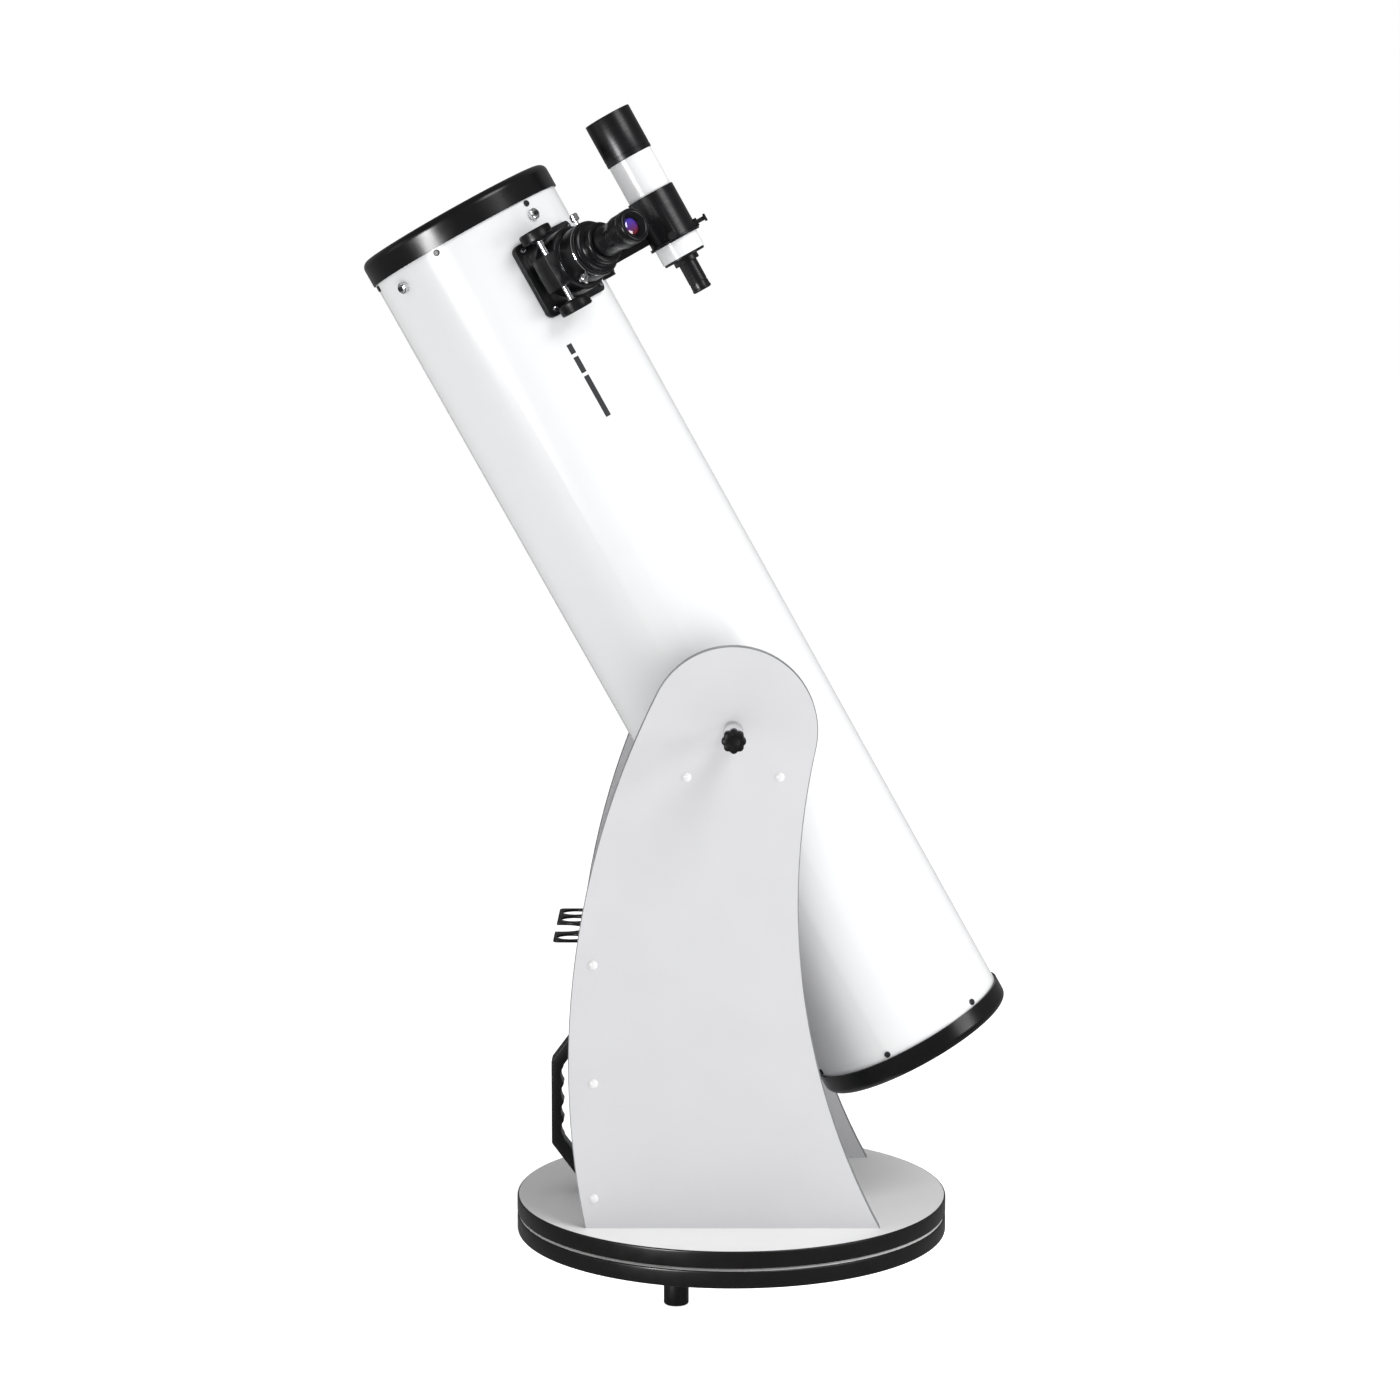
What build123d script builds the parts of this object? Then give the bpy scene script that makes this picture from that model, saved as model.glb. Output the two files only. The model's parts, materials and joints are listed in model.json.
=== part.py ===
"""Newtonian reflector on a rocker-box mount, one STEP file per sub-part.

Millimetres, +Z up.  The origin is where the azimuth axis meets the floor.  The altitude axis runs along
Y, the front board, the handle and the eyepiece rack face -X, and the tube leans towards -X at rest.

Tube pieces are drawn in the tube frame: Z runs along the tube towards the sky from the altitude axis,
X points out of the tube's upper side and Y is the altitude axis.  A clock angle goes round the tube from
X towards Y.
"""
import os
from math import atan2, cos, degrees, pi, radians, sin, sqrt

from build123d import *

# ---- Ground board and feet ----
board_radius = 255.8
board_t = 20.0
edge_band_t = 2.0
foot_d = 28.5
foot_h = 30.5
foot_inset = 35.8
foot_first_angle = -107.0
foot_edge = 1.5
foot_sink = 6.0
foot_screw_d = 5.0
foot_screw_bite = 12.0
pad_d = 28.0
pad_t = 3.0
pivot_d = 12.0
pivot_flats = 19.0
pivot_head_h = 7.0
pivot_nut_h = 10.0
pivot_washer_d = 28.0
pivot_washer_t = 2.0
pivot_tail = 3.0
bush_wall = 2.0
bush_flange_w = 5.0
bush_flange_t = 2.5

# ---- Rocker box ----
panel_t = 15.0
tube_gap = 29.75
panel_foot = 339.0
panel_edge_t = 1.0
axis_above_board = 577.0
panel_top_radius = 96.0
panel_front_radius = 960.0
panel_rear_radius = 810.0
front_board_inset = 2.5
front_board_h = 378.0
front_edge_t = 2.0
furniture_screw_d = 5.0
furniture_screw_l = 50.0
screw_head_d = 9.0
cap_d = 11.0
cap_h = 2.6
panel_screw_heights = (35.0, 170.0, 308.0)
base_screw_xs = (-105.0, 0.0, 105.0)
front_screw_ys = (-80.0, 80.0)
cradle_pad_d = 20.0
cradle_pad_l = 24.0
cradle_pad_floor = 6.0
cradle_angle = 45.0
cradle_orbit = 74.4
cradle_bolt_d = 6.0

# ---- Carry handle ----
handle_low = 10.0
handle_high = 212.0
handle_reach = 47.0
handle_root = 9.0
handle_grip_h = 100.0
handle_bar = 14.6
handle_w = 28.0
finger_count = 4
finger_pitch = 22.0
finger_radius = 16.0
finger_depth = 3.4
handle_corner = 5.0
handle_screw_in = 6.0
handle_screw_y = 8.0
board_screw_d = 4.0
board_screw_bite = 11.0

# ---- Eyepiece rack ----
rack_z = 322.5
rack_w = 196.0
rack_reach = 40.5
rack_t = 3.0
rack_flange_h = 16.0
rack_hole_d = 32.4
rack_hole_ys = (-75.0, 33.0, 75.0)
rack_notch_d = 51.4
rack_notch_y = -20.0
rack_notch_wall = 4.0
rack_corner = 6.0
rack_flange_t = 2.0
rack_screw_y = 60.0

# ---- Tube ----
tube_tilt = 29.13
tube_d = 235.0
tube_wall = 0.8
tube_l = 1062.0
axis_to_mouth = 634.0
ring_overhang = 2.9
ring_wall = 3.0
ring_lip = 3.5
ring_skirt = 10.0
top_ring_h = 30.0
bottom_ring_h = 26.0
ring_round = 9.0
ring_screw_in = 5.0
ring_screw_count = 6
m4 = 4.0
m4_flat_head_d = 7.5
m4_bite = 4.0
opening_play = 2.0

# ---- Altitude bearings and tension knobs ----
bearing_face_gap = 1.0
bearing_screw_s = 40.0
bearing_screw_bite = 10.0
bearing_edge = 1.5
tension_bolt_in = 24.0
tension_hole_play = 2.0
tension_bolt_d = 8.0
tension_collar_d = 23.0
tension_collar_l = 73.0
tension_knob_d = 27.4
tension_knob_l = 17.0
tension_knob_lobes = 8
lobe_cut_share = 0.62
lobe_cut_out = 0.45

# ---- Spider and secondary mirror ----
vane_s = 614.5
vane_h = 15.0
vane_t = 1.2
vane_stud_d = 5.0
vane_nut_d = 13.0
vane_nut_h = 7.0
hub_d = 40.0
hub_h = 18.0
secondary_d = 50.0
secondary_t = 8.0
holder_d = 46.0
holder_gap = 10.0
hub_bolt_d = 6.0
hub_bolt_in = 18.0
tilt_screw_orbit = 12.0

# ---- Primary mirror and its cell ----
mirror_inset = 15.9
mirror_t = 25.0
mirror_back_s = -410.0
focal_length = 1150.0
cell_t = 6.0
cell_overhang = 4.0
cell_bore_d = 60.0
cell_hole_d = 28.0
cell_hole_share = 0.62
cell_plate_s = -438.0
cell_plate_t = 6.0
cell_plate_bore_d = 52.0
cell_plate_hole_d = 32.0
cell_screw_in = 4.5
cell_shelf_w = 9.0
spring_d = 12.0
spring_wire = 1.8
spring_turns = 4.5
collimation_radius = 75.0
collimation_bolt_d = 6.0
collimation_knob_d = 20.0
collimation_knob_h = 8.0
collimation_grooves = 10
knob_stand_off = 1.0
lock_d = 5.0
lock_head_d = 12.0
lock_head_h = 6.0
clip_w = 14.0
clip_t = 2.0
clip_reach = 5.0

# ---- Focuser ----
focuser_s = 547.0
focuser_clock = -45.0
saddle_l = 90.0
saddle_w = 96.0
saddle_t = 6.0
saddle_corner = 8.0
saddle_screw_in = 8.0
drawtube_d = 60.0
drawtube_sunk = 19.5
drawtube_flat = 0.5
drawtube_flat_w = 40.0
sleeve_step = 1.0
housing_wall = 7.5
housing_rise = 34.5
shaft_d = 7.0
shaft_rise = 24.5
block_l = 40.0
block_h = 26.0
block_proud = 9.5
knob_gap = 37.0
focus_knob_d = 38.0
focus_knob_l = 14.0
knob_cap_t = 2.0
collar_wall = 2.0
collar_rise = 39.5
collar_h = 25.0
collar_groove = 1.5
clamp_below_top = 7.0
clamp_d = 4.0
clamp_head_d = 10.0
clamp_head_gap = 4.0
clamp_head_l = 9.0
clamp_angles = {"up": 0.0, "side": 127.0}

# ---- Eyepiece and its adapter ----
adapter_barrel_d = 50.8
adapter_barrel_l = 20.0
adapter_flange_d = 60.0
adapter_flange_t = 4.0
adapter_neck_d = 48.0
adapter_neck_h = 14.0
eyepiece_barrel_d = 31.75
eyepiece_barrel_l = 28.0
eyepiece_waist_d = 34.0
eyepiece_top_d = 37.0
eyepiece_wall = 1.2
eyepiece_body_l = 55.0
eye_lens_d = 19.0
eye_lens_depth = 5.0
eye_lens_lip = 2.0
eye_dish_w = 4.0
lens_t = 3.0

# ---- Finder ----
finder_rise = 92.5
finder_tube_d = 53.5
finder_wall = 1.25
finder_low = 492.0
finder_high = 627.0
finder_waist_depth = 1.75
finder_waist_low = 516.0
finder_waist_high = 566.0
hood_proud = 1.75
hood_low = 620.0
hood_high = 674.0
hood_wall = 1.5
objective_t = 6.0
tail_step = 1.25
tail_l = 3.0
tail_neck_d = 30.5
tail_neck_l = 6.0
tail_barrel_d = 22.0
tail_barrel_l = 36.0
tail_bore_d = 12.0
tail_plug_l = 8.0
bracket_low = 511.5
bracket_high = 572.4
bracket_play = 0.85
bracket_wall = 1.4
bracket_flange_out = 2.5
bracket_flange_t = 3.5
adjuster_s = 518.5
adjuster_d = 5.0
adjuster_boss_d = 10.0
adjuster_head_d = 9.0
adjuster_head_h = 3.0
adjuster_proud = 15.0
adjuster_boss_proud = 4.0
adjuster_clocks = {"top": 0.0, "side": -90.0}
plunger_clock = 135.0
plunger_proud = 6.0
stalk_l = 40.0
stalk_w = 12.0
dovetail_l = 52.0
dovetail_low_w = 30.0
dovetail_top_w = 20.0
dovetail_h = 9.0
dovetail_rise = 5.0
shoe_l = 60.0
shoe_w = 46.0
shoe_screw_sink = 2.0
shoe_screw_x = 22.0

# ---- Clearances ----
running = 0.1
slide_fit = 0.05
hole_play = 0.1
curved_gap = 0.3

# ---- Levels and radii that follow ----
ground_low = foot_h
ground_top = ground_low + board_t
board_low = ground_top + pad_t
board_top = board_low + board_t
axis_z = board_top + axis_above_board
foot_ring_radius = board_radius - foot_inset
foot_screw_l = foot_h - foot_sink + foot_screw_bite
bush_r = pivot_d / 2 + running + bush_wall
tube_r = tube_d / 2
panel_inner = tube_r + tube_gap
panel_outer = panel_inner + panel_t
tube_in = tube_r - tube_wall
ring_r = tube_r + ring_overhang
skirt_r = tube_in - hole_play
mouth_s = axis_to_mouth
tail_s = axis_to_mouth - tube_l
bearing_r = cradle_orbit - cradle_pad_d / 2 - curved_gap
cradle_drop = cradle_orbit * sin(radians(cradle_angle))
cradle_out = cradle_orbit * cos(radians(cradle_angle))
bearing_face = panel_inner - bearing_face_gap
tension_hole_r = (tension_bolt_d + tension_hole_play) / 2
front_face_x = -(panel_foot / 2 - front_board_inset)
front_mid_x = front_face_x + panel_t / 2
handle_mid = (handle_low + handle_high) / 2
mirror_r = tube_r - mirror_inset
mirror_front_s = mirror_back_s + mirror_t
cell_r = mirror_r + cell_overhang
cell_low_s = mirror_back_s - cell_t
cell_plate_r = skirt_r - ring_wall - hole_play
cell_plate_low_s = cell_plate_s - cell_plate_t
ring_screw_l = tube_wall + ring_wall
hub_top_s = vane_s + vane_h / 2
hub_low_s = hub_top_s - hub_h
holder_top_s = hub_low_s - holder_gap
drawtube_bore = adapter_barrel_d + 2 * slide_fit
drawtube_low = tube_r - drawtube_sunk
housing_r = drawtube_d / 2 + housing_wall
housing_top = tube_r + housing_rise
shaft_above = tube_r + shaft_rise
shaft_offset = drawtube_d / 2 - drawtube_flat + shaft_d / 2 + slide_fit
collar_r = drawtube_d / 2 + collar_wall
collar_low = tube_r + collar_rise
collar_high = collar_low + collar_h
clamp_s = collar_high - clamp_below_top
sleeve_r = drawtube_d / 2 - sleeve_step
sleeve_top = clamp_s - clamp_d / 2 - 3
adapter_top = collar_high + adapter_flange_t + adapter_neck_h
eyepiece_top = adapter_top + eyepiece_body_l
finder_lift = tube_r + finder_rise
finder_r = finder_tube_d / 2
finder_waist_r = finder_r - finder_waist_depth
finder_mid_s = (bracket_low + bracket_high) / 2
bracket_bore_r = finder_r + bracket_play
bracket_r = bracket_bore_r + bracket_wall
boss_top = bracket_r + adjuster_boss_proud
adjuster_reach = bracket_r + adjuster_proud
dovetail_lift = tube_r + dovetail_rise
shoe_floor = dovetail_lift - shoe_screw_sink

ring_screw_clocks = [focuser_clock + 360 * n / ring_screw_count for n in range(ring_screw_count)]
vane_clocks = [focuser_clock + 90 * n for n in range(4)]
collimation_clocks = (90, 210, 330)
clip_clocks = (30, 150, 270)
focuser_screw_x = saddle_l / 2 - saddle_screw_in
focuser_screw_tilt = degrees((saddle_w / 2 - saddle_screw_in) / (tube_r + saddle_t))

tilt = radians(tube_tilt)
tube_frame = Plane(origin=(0, 0, axis_z), x_dir=(cos(tilt), 0, sin(tilt)), z_dir=(-sin(tilt), 0, cos(tilt)))


# ---- Drawing helpers ----
def disc(radius, low, high):
    """Upright cylinder between two heights."""
    return Pos(0, 0, low) * Cylinder(radius, high - low, align=(Align.CENTER, Align.CENTER, Align.MIN))


def ring(outer, inner, low, high):
    """Upright ring between two heights."""
    return disc(outer, low, high) - disc(inner, low - 1, high + 1)


def block(x, y, z):
    """Box from three (low, high) pairs."""
    size = [high - low for low, high in (x, y, z)]
    middle = [(high + low) / 2 for low, high in (x, y, z)]
    return Pos(*middle) * Box(*size)


def turned(*points):
    """Solid turned about Z from (radius, height) corners."""
    return revolve(Plane.XZ * make_face(Polyline(*points, close=True)), Axis.Z)


def group(solids):
    """One node of separate solids."""
    return Compound(children=list(solids))


def on_tube(shape):
    """Carries a shape from the tube frame to the telescope's frame."""
    return tube_frame.location * shape


def on_wall(s, clock, radius):
    """Frame on the tube's side: Z points outwards and X runs along the tube."""
    angle = radians(clock)
    origin = (radius * cos(angle), radius * sin(angle), s)
    return Plane(origin=origin, x_dir=(0, 0, 1), z_dir=(cos(angle), sin(angle), 0)).location


def on_focuser(shape):
    """Carries a shape from the focuser frame, whose Z is the eyepiece axis, to the telescope's frame."""
    return on_tube(on_wall(focuser_s, focuser_clock, 0) * shape)


def on_finder(shape):
    """Carries a shape drawn about the finder's axis to the telescope's frame."""
    return on_tube(Pos(finder_lift, 0, 0) * shape)


def along_y(x, y, z, facing):
    """Frame whose Z runs along the telescope's Y axis, facing +1 or -1."""
    return Plane(origin=(x, y, z), x_dir=(1, 0, 0), z_dir=(0, facing, 0)).location


def along_x(x, y, z, facing):
    """Frame whose Z runs along the telescope's X axis, facing +1 or -1."""
    return Plane(origin=(x, y, z), x_dir=(0, 1, 0), z_dir=(facing, 0, 0)).location


def pan_screw(diameter, length):
    """Screw with a domed head above Z = 0 and its shank below."""
    head_r = diameter * 0.9
    head = disc(head_r, 0, diameter * 0.55)
    head = fillet(head.edges().sort_by(Axis.Z)[-1], diameter * 0.3)
    return head + disc(diameter / 2, -length, 0)


def flat_screw(diameter, head_d, length):
    """Countersunk screw whose head is flush with Z = 0."""
    sink = (head_d - diameter) / 2
    return turned((0, 0), (head_d / 2, 0), (diameter / 2, -sink), (diameter / 2, -length), (0, -length))


def flat_screw_hole(diameter, head_d, length):
    """Space that a countersunk screw needs, open above Z = 0."""
    r = diameter / 2 + hole_play / 2
    head_r = head_d / 2 + hole_play / 2
    end = -length - hole_play
    return turned((0, 1), (head_r, 1), (head_r, 0), (r, r - head_r), (r, end), (0, end))


def polar(count, first=0.0):
    """Evenly spaced angles in degrees."""
    return [first + 360 * n / count for n in range(count)]


def at(radius, angle, z=0.0):
    """Place on a circle about Z."""
    return Pos(radius * cos(radians(angle)), radius * sin(radians(angle)), z)


# ---- Ground board ----
foot_places = [at(foot_ring_radius, angle) for angle in polar(3, foot_first_angle)]


def round_board(low, bore_r):
    """Round board core with its pivot bore."""
    return ring(board_radius - edge_band_t, bore_r, low, low + board_t)


def round_edging(low):
    """Edge band round a board."""
    return ring(board_radius, board_radius - edge_band_t, low, low + board_t)


def foot_screw_hole():
    return Rot(180, 0, 0) * flat_screw_hole(foot_screw_d, screw_head_d, foot_screw_l)


def ground_board():
    board = round_board(ground_low, pivot_d / 2 + hole_play)
    for place in foot_places:
        board -= place * Pos(0, 0, foot_sink) * foot_screw_hole()
    return board


def feet():
    """Three feet, each with a counterbore for its screw."""
    foot = disc(foot_d / 2, 0, foot_h)
    foot = chamfer(foot.edges().sort_by(Axis.Z)[0], foot_edge)
    foot -= disc(screw_head_d / 2 + 1.5, -1, foot_sink)
    foot -= Pos(0, 0, foot_sink) * foot_screw_hole()
    return group(place * foot for place in foot_places)


def foot_screws():
    screw = Rot(180, 0, 0) * flat_screw(foot_screw_d, screw_head_d, foot_screw_l)
    return group(place * Pos(0, 0, foot_sink) * screw for place in foot_places)


def azimuth_pads():
    """Slippery pads on the ground board, over the feet."""
    return group(place * disc(pad_d / 2, ground_top, board_low) for place in foot_places)


def hexagon(across_flats, low, high):
    """Hexagonal prism between two heights."""
    sketch = RegularPolygon(across_flats / 2, 6, major_radius=False)
    return Pos(0, 0, low) * extrude(sketch, high - low)


def pivot_bolt():
    """Hexagon bolt up through both boards, on the azimuth axis."""
    top = board_top + bush_flange_t + pivot_washer_t + pivot_nut_h + pivot_tail
    head = hexagon(pivot_flats, ground_low - pivot_head_h - pivot_washer_t, ground_low - pivot_washer_t)
    bolt = head + disc(pivot_d / 2, ground_low - pivot_washer_t, top)
    return chamfer(bolt.edges().sort_by(Axis.Z)[-1], 1)


def pivot_nut():
    """Lock nut above the top board, with the washers under it and under the bolt's head."""
    bore = pivot_d / 2 + slide_fit
    low = board_top + bush_flange_t
    nut_low = low + pivot_washer_t
    nut = hexagon(pivot_flats, nut_low, nut_low + pivot_nut_h) - disc(bore, low, nut_low + pivot_nut_h + 1)
    lows = (low, ground_low - pivot_washer_t)
    washers = [ring(pivot_washer_d / 2, bore, z, z + pivot_washer_t) for z in lows]
    return group([nut, *washers])


# ---- Rocker box ----
def circle_meet(c1, r1, c2, r2):
    """The crossing of two circles with the larger first coordinate."""
    dx, dz = c2[0] - c1[0], c2[1] - c1[1]
    gap = sqrt(dx * dx + dz * dz)
    along = (gap * gap + r1 * r1 - r2 * r2) / (2 * gap)
    across = sqrt(r1 * r1 - along * along)
    foot = (c1[0] + along * dx / gap, c1[1] + along * dz / gap)
    crossings = [(foot[0] - side * across * dz / gap, foot[1] + side * across * dx / gap) for side in (1, -1)]
    return max(crossings)


def on_circle(centre, radius, angle):
    return (centre[0] + radius * cos(angle), centre[1] + radius * sin(angle))


def direction(start, end):
    return atan2(end[1] - start[1], end[0] - start[0])


def panel_face(inset):
    """Side panel outline in X and height above the top board, drawn in by an inset.

    A round top is met by a bulging front edge and by a hollow rear edge, each in one tangent arc.
    """
    top = (0, axis_above_board)
    half = panel_foot / 2
    front = circle_meet(top, panel_front_radius - panel_top_radius, (-half, 0), panel_front_radius)
    rear = circle_meet(top, panel_rear_radius + panel_top_radius, (half, 0), panel_rear_radius)
    top_r = panel_top_radius - inset
    front_r = panel_front_radius - inset
    rear_r = panel_rear_radius + inset
    front_angle = direction(front, top)
    rear_angle = direction(top, rear)
    front_foot = (front[0] - sqrt(front_r**2 - front[1] ** 2), 0)
    rear_foot = (rear[0] - sqrt(rear_r**2 - rear[1] ** 2), 0)
    front_top = on_circle(top, top_r, front_angle)
    rear_top = on_circle(top, top_r, rear_angle)
    foot_angle = direction(front, front_foot) % (2 * pi)
    rear_foot_angle = direction(rear, rear_foot) % (2 * pi)
    front_mid = on_circle(front, front_r, (foot_angle + front_angle) / 2)
    crown = on_circle(top, top_r, (front_angle + rear_angle) / 2)
    rear_mid = on_circle(rear, rear_r, (rear_foot_angle + rear_angle + pi) / 2)
    outline = ThreePointArc(front_foot, front_mid, front_top)
    outline += ThreePointArc(front_top, crown, rear_top)
    outline += ThreePointArc(rear_top, rear_mid, rear_foot)
    outline += Line(rear_foot, front_foot)
    return make_face(outline)


def panel_slab(inset, side):
    """Panel outline raised to a slab on one side of the box: -1 is near, +1 is far."""
    slab = extrude(Plane.XZ * panel_face(inset), panel_t / 2, both=True)
    return Pos(0, side * (panel_inner + panel_t / 2), board_top) * slab


cradle_places = [(x, side) for side in (-1, 1) for x in (-cradle_out, cradle_out)]
panel_screw_places = [(height, side) for side in (-1, 1) for height in panel_screw_heights]
base_screw_places = [(x, side * (panel_inner + panel_t / 2)) for side in (-1, 1) for x in base_screw_xs]
base_screw_places += [(front_mid_x, y) for y in front_screw_ys]


def furniture_screw_frames():
    """Outer faces of the heads of the long screws: through the panels, then up through the top board."""
    frames = []
    for height, side in panel_screw_places:
        frames.append(along_y(front_mid_x, side * panel_outer, board_top + height, side))
    for x, y in base_screw_places:
        frames.append(Plane(origin=(x, y, board_low), x_dir=(1, 0, 0), z_dir=(0, 0, -1)).location)
    return frames


def furniture_holes():
    hole = flat_screw_hole(furniture_screw_d, screw_head_d, furniture_screw_l)
    return [frame * hole for frame in furniture_screw_frames()]


def top_board():
    board = round_board(board_low, bush_r)
    for hole in furniture_holes()[len(panel_screw_places):]:
        board -= hole
    return board


def pivot_bush():
    """Flanged bush in the top board that turns on the pivot bolt."""
    bush = ring(bush_r, pivot_d / 2 + slide_fit, board_low, board_top + bush_flange_t)
    flange = ring(bush_r + bush_flange_w, bush_r - bush_wall / 4, board_top, board_top + bush_flange_t)
    return bush + flange


def side_panel(side):
    panel = panel_slab(panel_edge_t, side)
    for hole in furniture_holes():
        panel -= hole
    panel -= along_y(0, side * panel_outer, axis_z, side) * disc(tension_hole_r, -panel_t - 1, 1)
    for x, pad_side in cradle_places:
        if pad_side == side:
            bore = disc(cradle_bolt_d / 2 + slide_fit, -panel_t - 1, 1)
            panel -= along_y(x, side * panel_outer, axis_z - cradle_drop, side) * bore
    return panel


def panel_edging():
    return group(panel_slab(0, side) - panel_slab(panel_edge_t, side) for side in (-1, 1))


def front_board():
    board = block(
        (front_face_x, front_face_x + panel_t),
        (-panel_inner, panel_inner),
        (board_top, board_top + front_board_h - front_edge_t),
    )
    for hole in furniture_holes():
        board -= hole
    for frame, d, length in board_screws():
        board -= frame * disc(d / 2 + hole_play / 2, -length - hole_play, 1)
    return board


def front_board_edging():
    top = board_top + front_board_h
    depth = (front_face_x, front_face_x + panel_t)
    return block(depth, (-panel_inner, panel_inner), (top - front_edge_t, top))


def furniture_screws():
    """Long screws of the boards and the bolts of the cradle posts."""
    screw = flat_screw(furniture_screw_d, screw_head_d, furniture_screw_l)
    bolt = disc(cradle_bolt_d / 2, -(panel_t + cradle_pad_l - cradle_pad_floor - 2), 0)
    solids = [frame * screw for frame in furniture_screw_frames()]
    for x, side in cradle_places:
        solids.append(along_y(x, side * panel_outer, axis_z - cradle_drop, side) * bolt)
    return group(solids)


def screw_caps():
    """Domed caps over the screws and the cradle bolts on the panels' outer faces."""
    dome_r = (cap_d**2 / 4 + cap_h**2) / (2 * cap_h)
    cap = disc(cap_d / 2, 0, cap_h) & Pos(0, 0, cap_h - dome_r) * Sphere(dome_r)
    frames = furniture_screw_frames()[: len(panel_screw_places)]
    frames += [along_y(x, side * panel_outer, axis_z - cradle_drop, side) for x, side in cradle_places]
    return group(frame * cap for frame in frames)


def cradle_pads():
    """Slippery posts inside the panels that carry the altitude bearings."""
    post = disc(cradle_pad_d / 2, 0, cradle_pad_l)
    post = chamfer(post.edges().sort_by(Axis.Z)[-1], 1)
    post -= disc(cradle_bolt_d / 2 + slide_fit, -1, cradle_pad_l - cradle_pad_floor)
    z = axis_z - cradle_drop
    return group(along_y(x, side * panel_inner, z, -side) * post for x, side in cradle_places)


# ---- Carry handle and eyepiece rack ----
def handle_outline(inset):
    """Half outline of the handle above its middle: reach from the board against height, drawn in."""
    rise = (handle_high - handle_low - handle_grip_h) / 2
    run = handle_reach - handle_root
    leg = sqrt(rise * rise + run * run)
    outer = handle_reach - inset
    grip = handle_grip_h / 2 - inset * (leg - rise) / run
    root_h = grip + outer * rise / run
    return outer, grip, root_h


def carry_handle():
    """Angular strap handle with finger grooves inside the grip, standing off the front board."""
    _, grip, _ = handle_outline(0)
    top = (handle_high - handle_low) / 2
    outer = [(0, top), (handle_root, top), (handle_reach, grip)]
    face = make_face(Polyline(*outer, *[(x, -z) for x, z in reversed(outer)], close=True))
    reach, grip, root_h = handle_outline(handle_bar)
    inner = [(-1, root_h + rise_per_reach()), (reach, grip)]
    face -= make_face(Polyline(*inner, *[(x, -z) for x, z in reversed(inner)], close=True))
    for n in range(finger_count):
        z = (n - (finger_count - 1) / 2) * finger_pitch
        face -= Pos(reach + finger_depth - finger_radius, z) * Circle(finger_radius)
    bar = extrude(face, handle_w / 2, both=True)
    corners = bar.edges().filter_by(Axis.Z).sort_by(Axis.X)[-4:]
    bar = fillet(corners, handle_corner)
    for sign in (-1, 1):
        for y in (-handle_screw_y, handle_screw_y):
            hole = Plane(origin=(0, sign * (top - handle_screw_in), y), z_dir=(1, 0, 0)).location
            bar -= hole * disc(board_screw_d / 2 + hole_play / 2, -1, handle_root + 1)
            bar -= hole * disc(board_screw_d, handle_root, handle_reach)
    frame = Plane(origin=(front_face_x, 0, board_top + handle_mid), x_dir=(-1, 0, 0), z_dir=(0, 1, 0))
    return frame.location * bar


def rise_per_reach():
    """Slope of the handle's legs: height lost for each millimetre of reach."""
    return (handle_high - handle_low - handle_grip_h) / 2 / (handle_reach - handle_root)


def eyepiece_rack():
    """Shelf with round eyepiece holes and an open notch, hung from a flange on the front board."""
    tip = front_face_x - rack_reach
    z = board_top + rack_z
    shelf = block((tip, front_face_x), (-rack_w / 2, rack_w / 2), (z - rack_t / 2, z + rack_t / 2))
    corners = shelf.edges().filter_by(Axis.Z).sort_by(Axis.X)[:2]
    shelf = fillet(corners, rack_corner)
    shelf += block(
        (front_face_x - rack_flange_t, front_face_x),
        (-rack_w / 2, rack_w / 2),
        (z - rack_t / 2 - rack_flange_h, z - rack_t / 2 + 0.5),
    )
    hole_x = front_face_x - rack_reach / 2
    for y in rack_hole_ys:
        shelf -= Pos(hole_x, y, z) * Cylinder(rack_hole_d / 2, rack_t + 1)
    notch = SlotCenterToCenter(2 * rack_reach, rack_notch_d, rotation=0)
    notch_x = front_face_x - rack_flange_t - rack_notch_wall - rack_notch_d / 2 - rack_reach
    shelf -= Pos(notch_x, rack_notch_y, z - rack_t) * extrude(notch, 2 * rack_t)
    for frame, d, _ in board_screws()[-2:]:
        shelf -= frame * disc(d / 2 + hole_play / 2, -rack_flange_t - 1, 1)
    return shelf


def board_screws():
    """Head frames, diameters and lengths of the screws that hold the handle and the rack."""
    screws = []
    for z in (handle_low + handle_screw_in, handle_high - handle_screw_in):
        for y in (-handle_screw_y, handle_screw_y):
            frame = along_x(front_face_x - handle_root, y, board_top + z, -1)
            screws.append((frame, board_screw_d, handle_root + board_screw_bite))
    rack_screw_z = board_top + rack_z - rack_t / 2 - rack_flange_h / 2
    for y in (-rack_screw_y, rack_screw_y):
        frame = along_x(front_face_x - rack_flange_t, y, rack_screw_z, -1)
        screws.append((frame, board_screw_d, rack_flange_t + board_screw_bite))
    return screws


def pan_screws():
    return group(frame * pan_screw(d, length) for frame, d, length in board_screws())


# ---- Tube, end rings and altitude bearings ----
def wall_screws():
    """Frames on the tube's side and lengths of all screws through its wall."""
    screws = []
    for s in (mouth_s - ring_screw_in, tail_s + ring_screw_in):
        screws += [(on_wall(s, clock, tube_r), ring_screw_l) for clock in ring_screw_clocks]
    for x in (-focuser_screw_x, focuser_screw_x):
        for turn in (-focuser_screw_tilt, focuser_screw_tilt):
            frame = on_wall(focuser_s + x, focuser_clock + turn, tube_r + saddle_t)
            screws.append((frame, saddle_t + tube_wall + m4_bite))
    return screws


def bearing_screws():
    """Frames inside the tube's wall of the screws that hold the altitude bearings."""
    frames = []
    for side in (-1, 1):
        for s in (-bearing_screw_s, bearing_screw_s):
            origin = (0, side * (tube_in - hole_play), s)
            frames.append(Plane(origin=origin, x_dir=(1, 0, 0), z_dir=(0, -side, 0)).location)
    return frames


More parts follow.
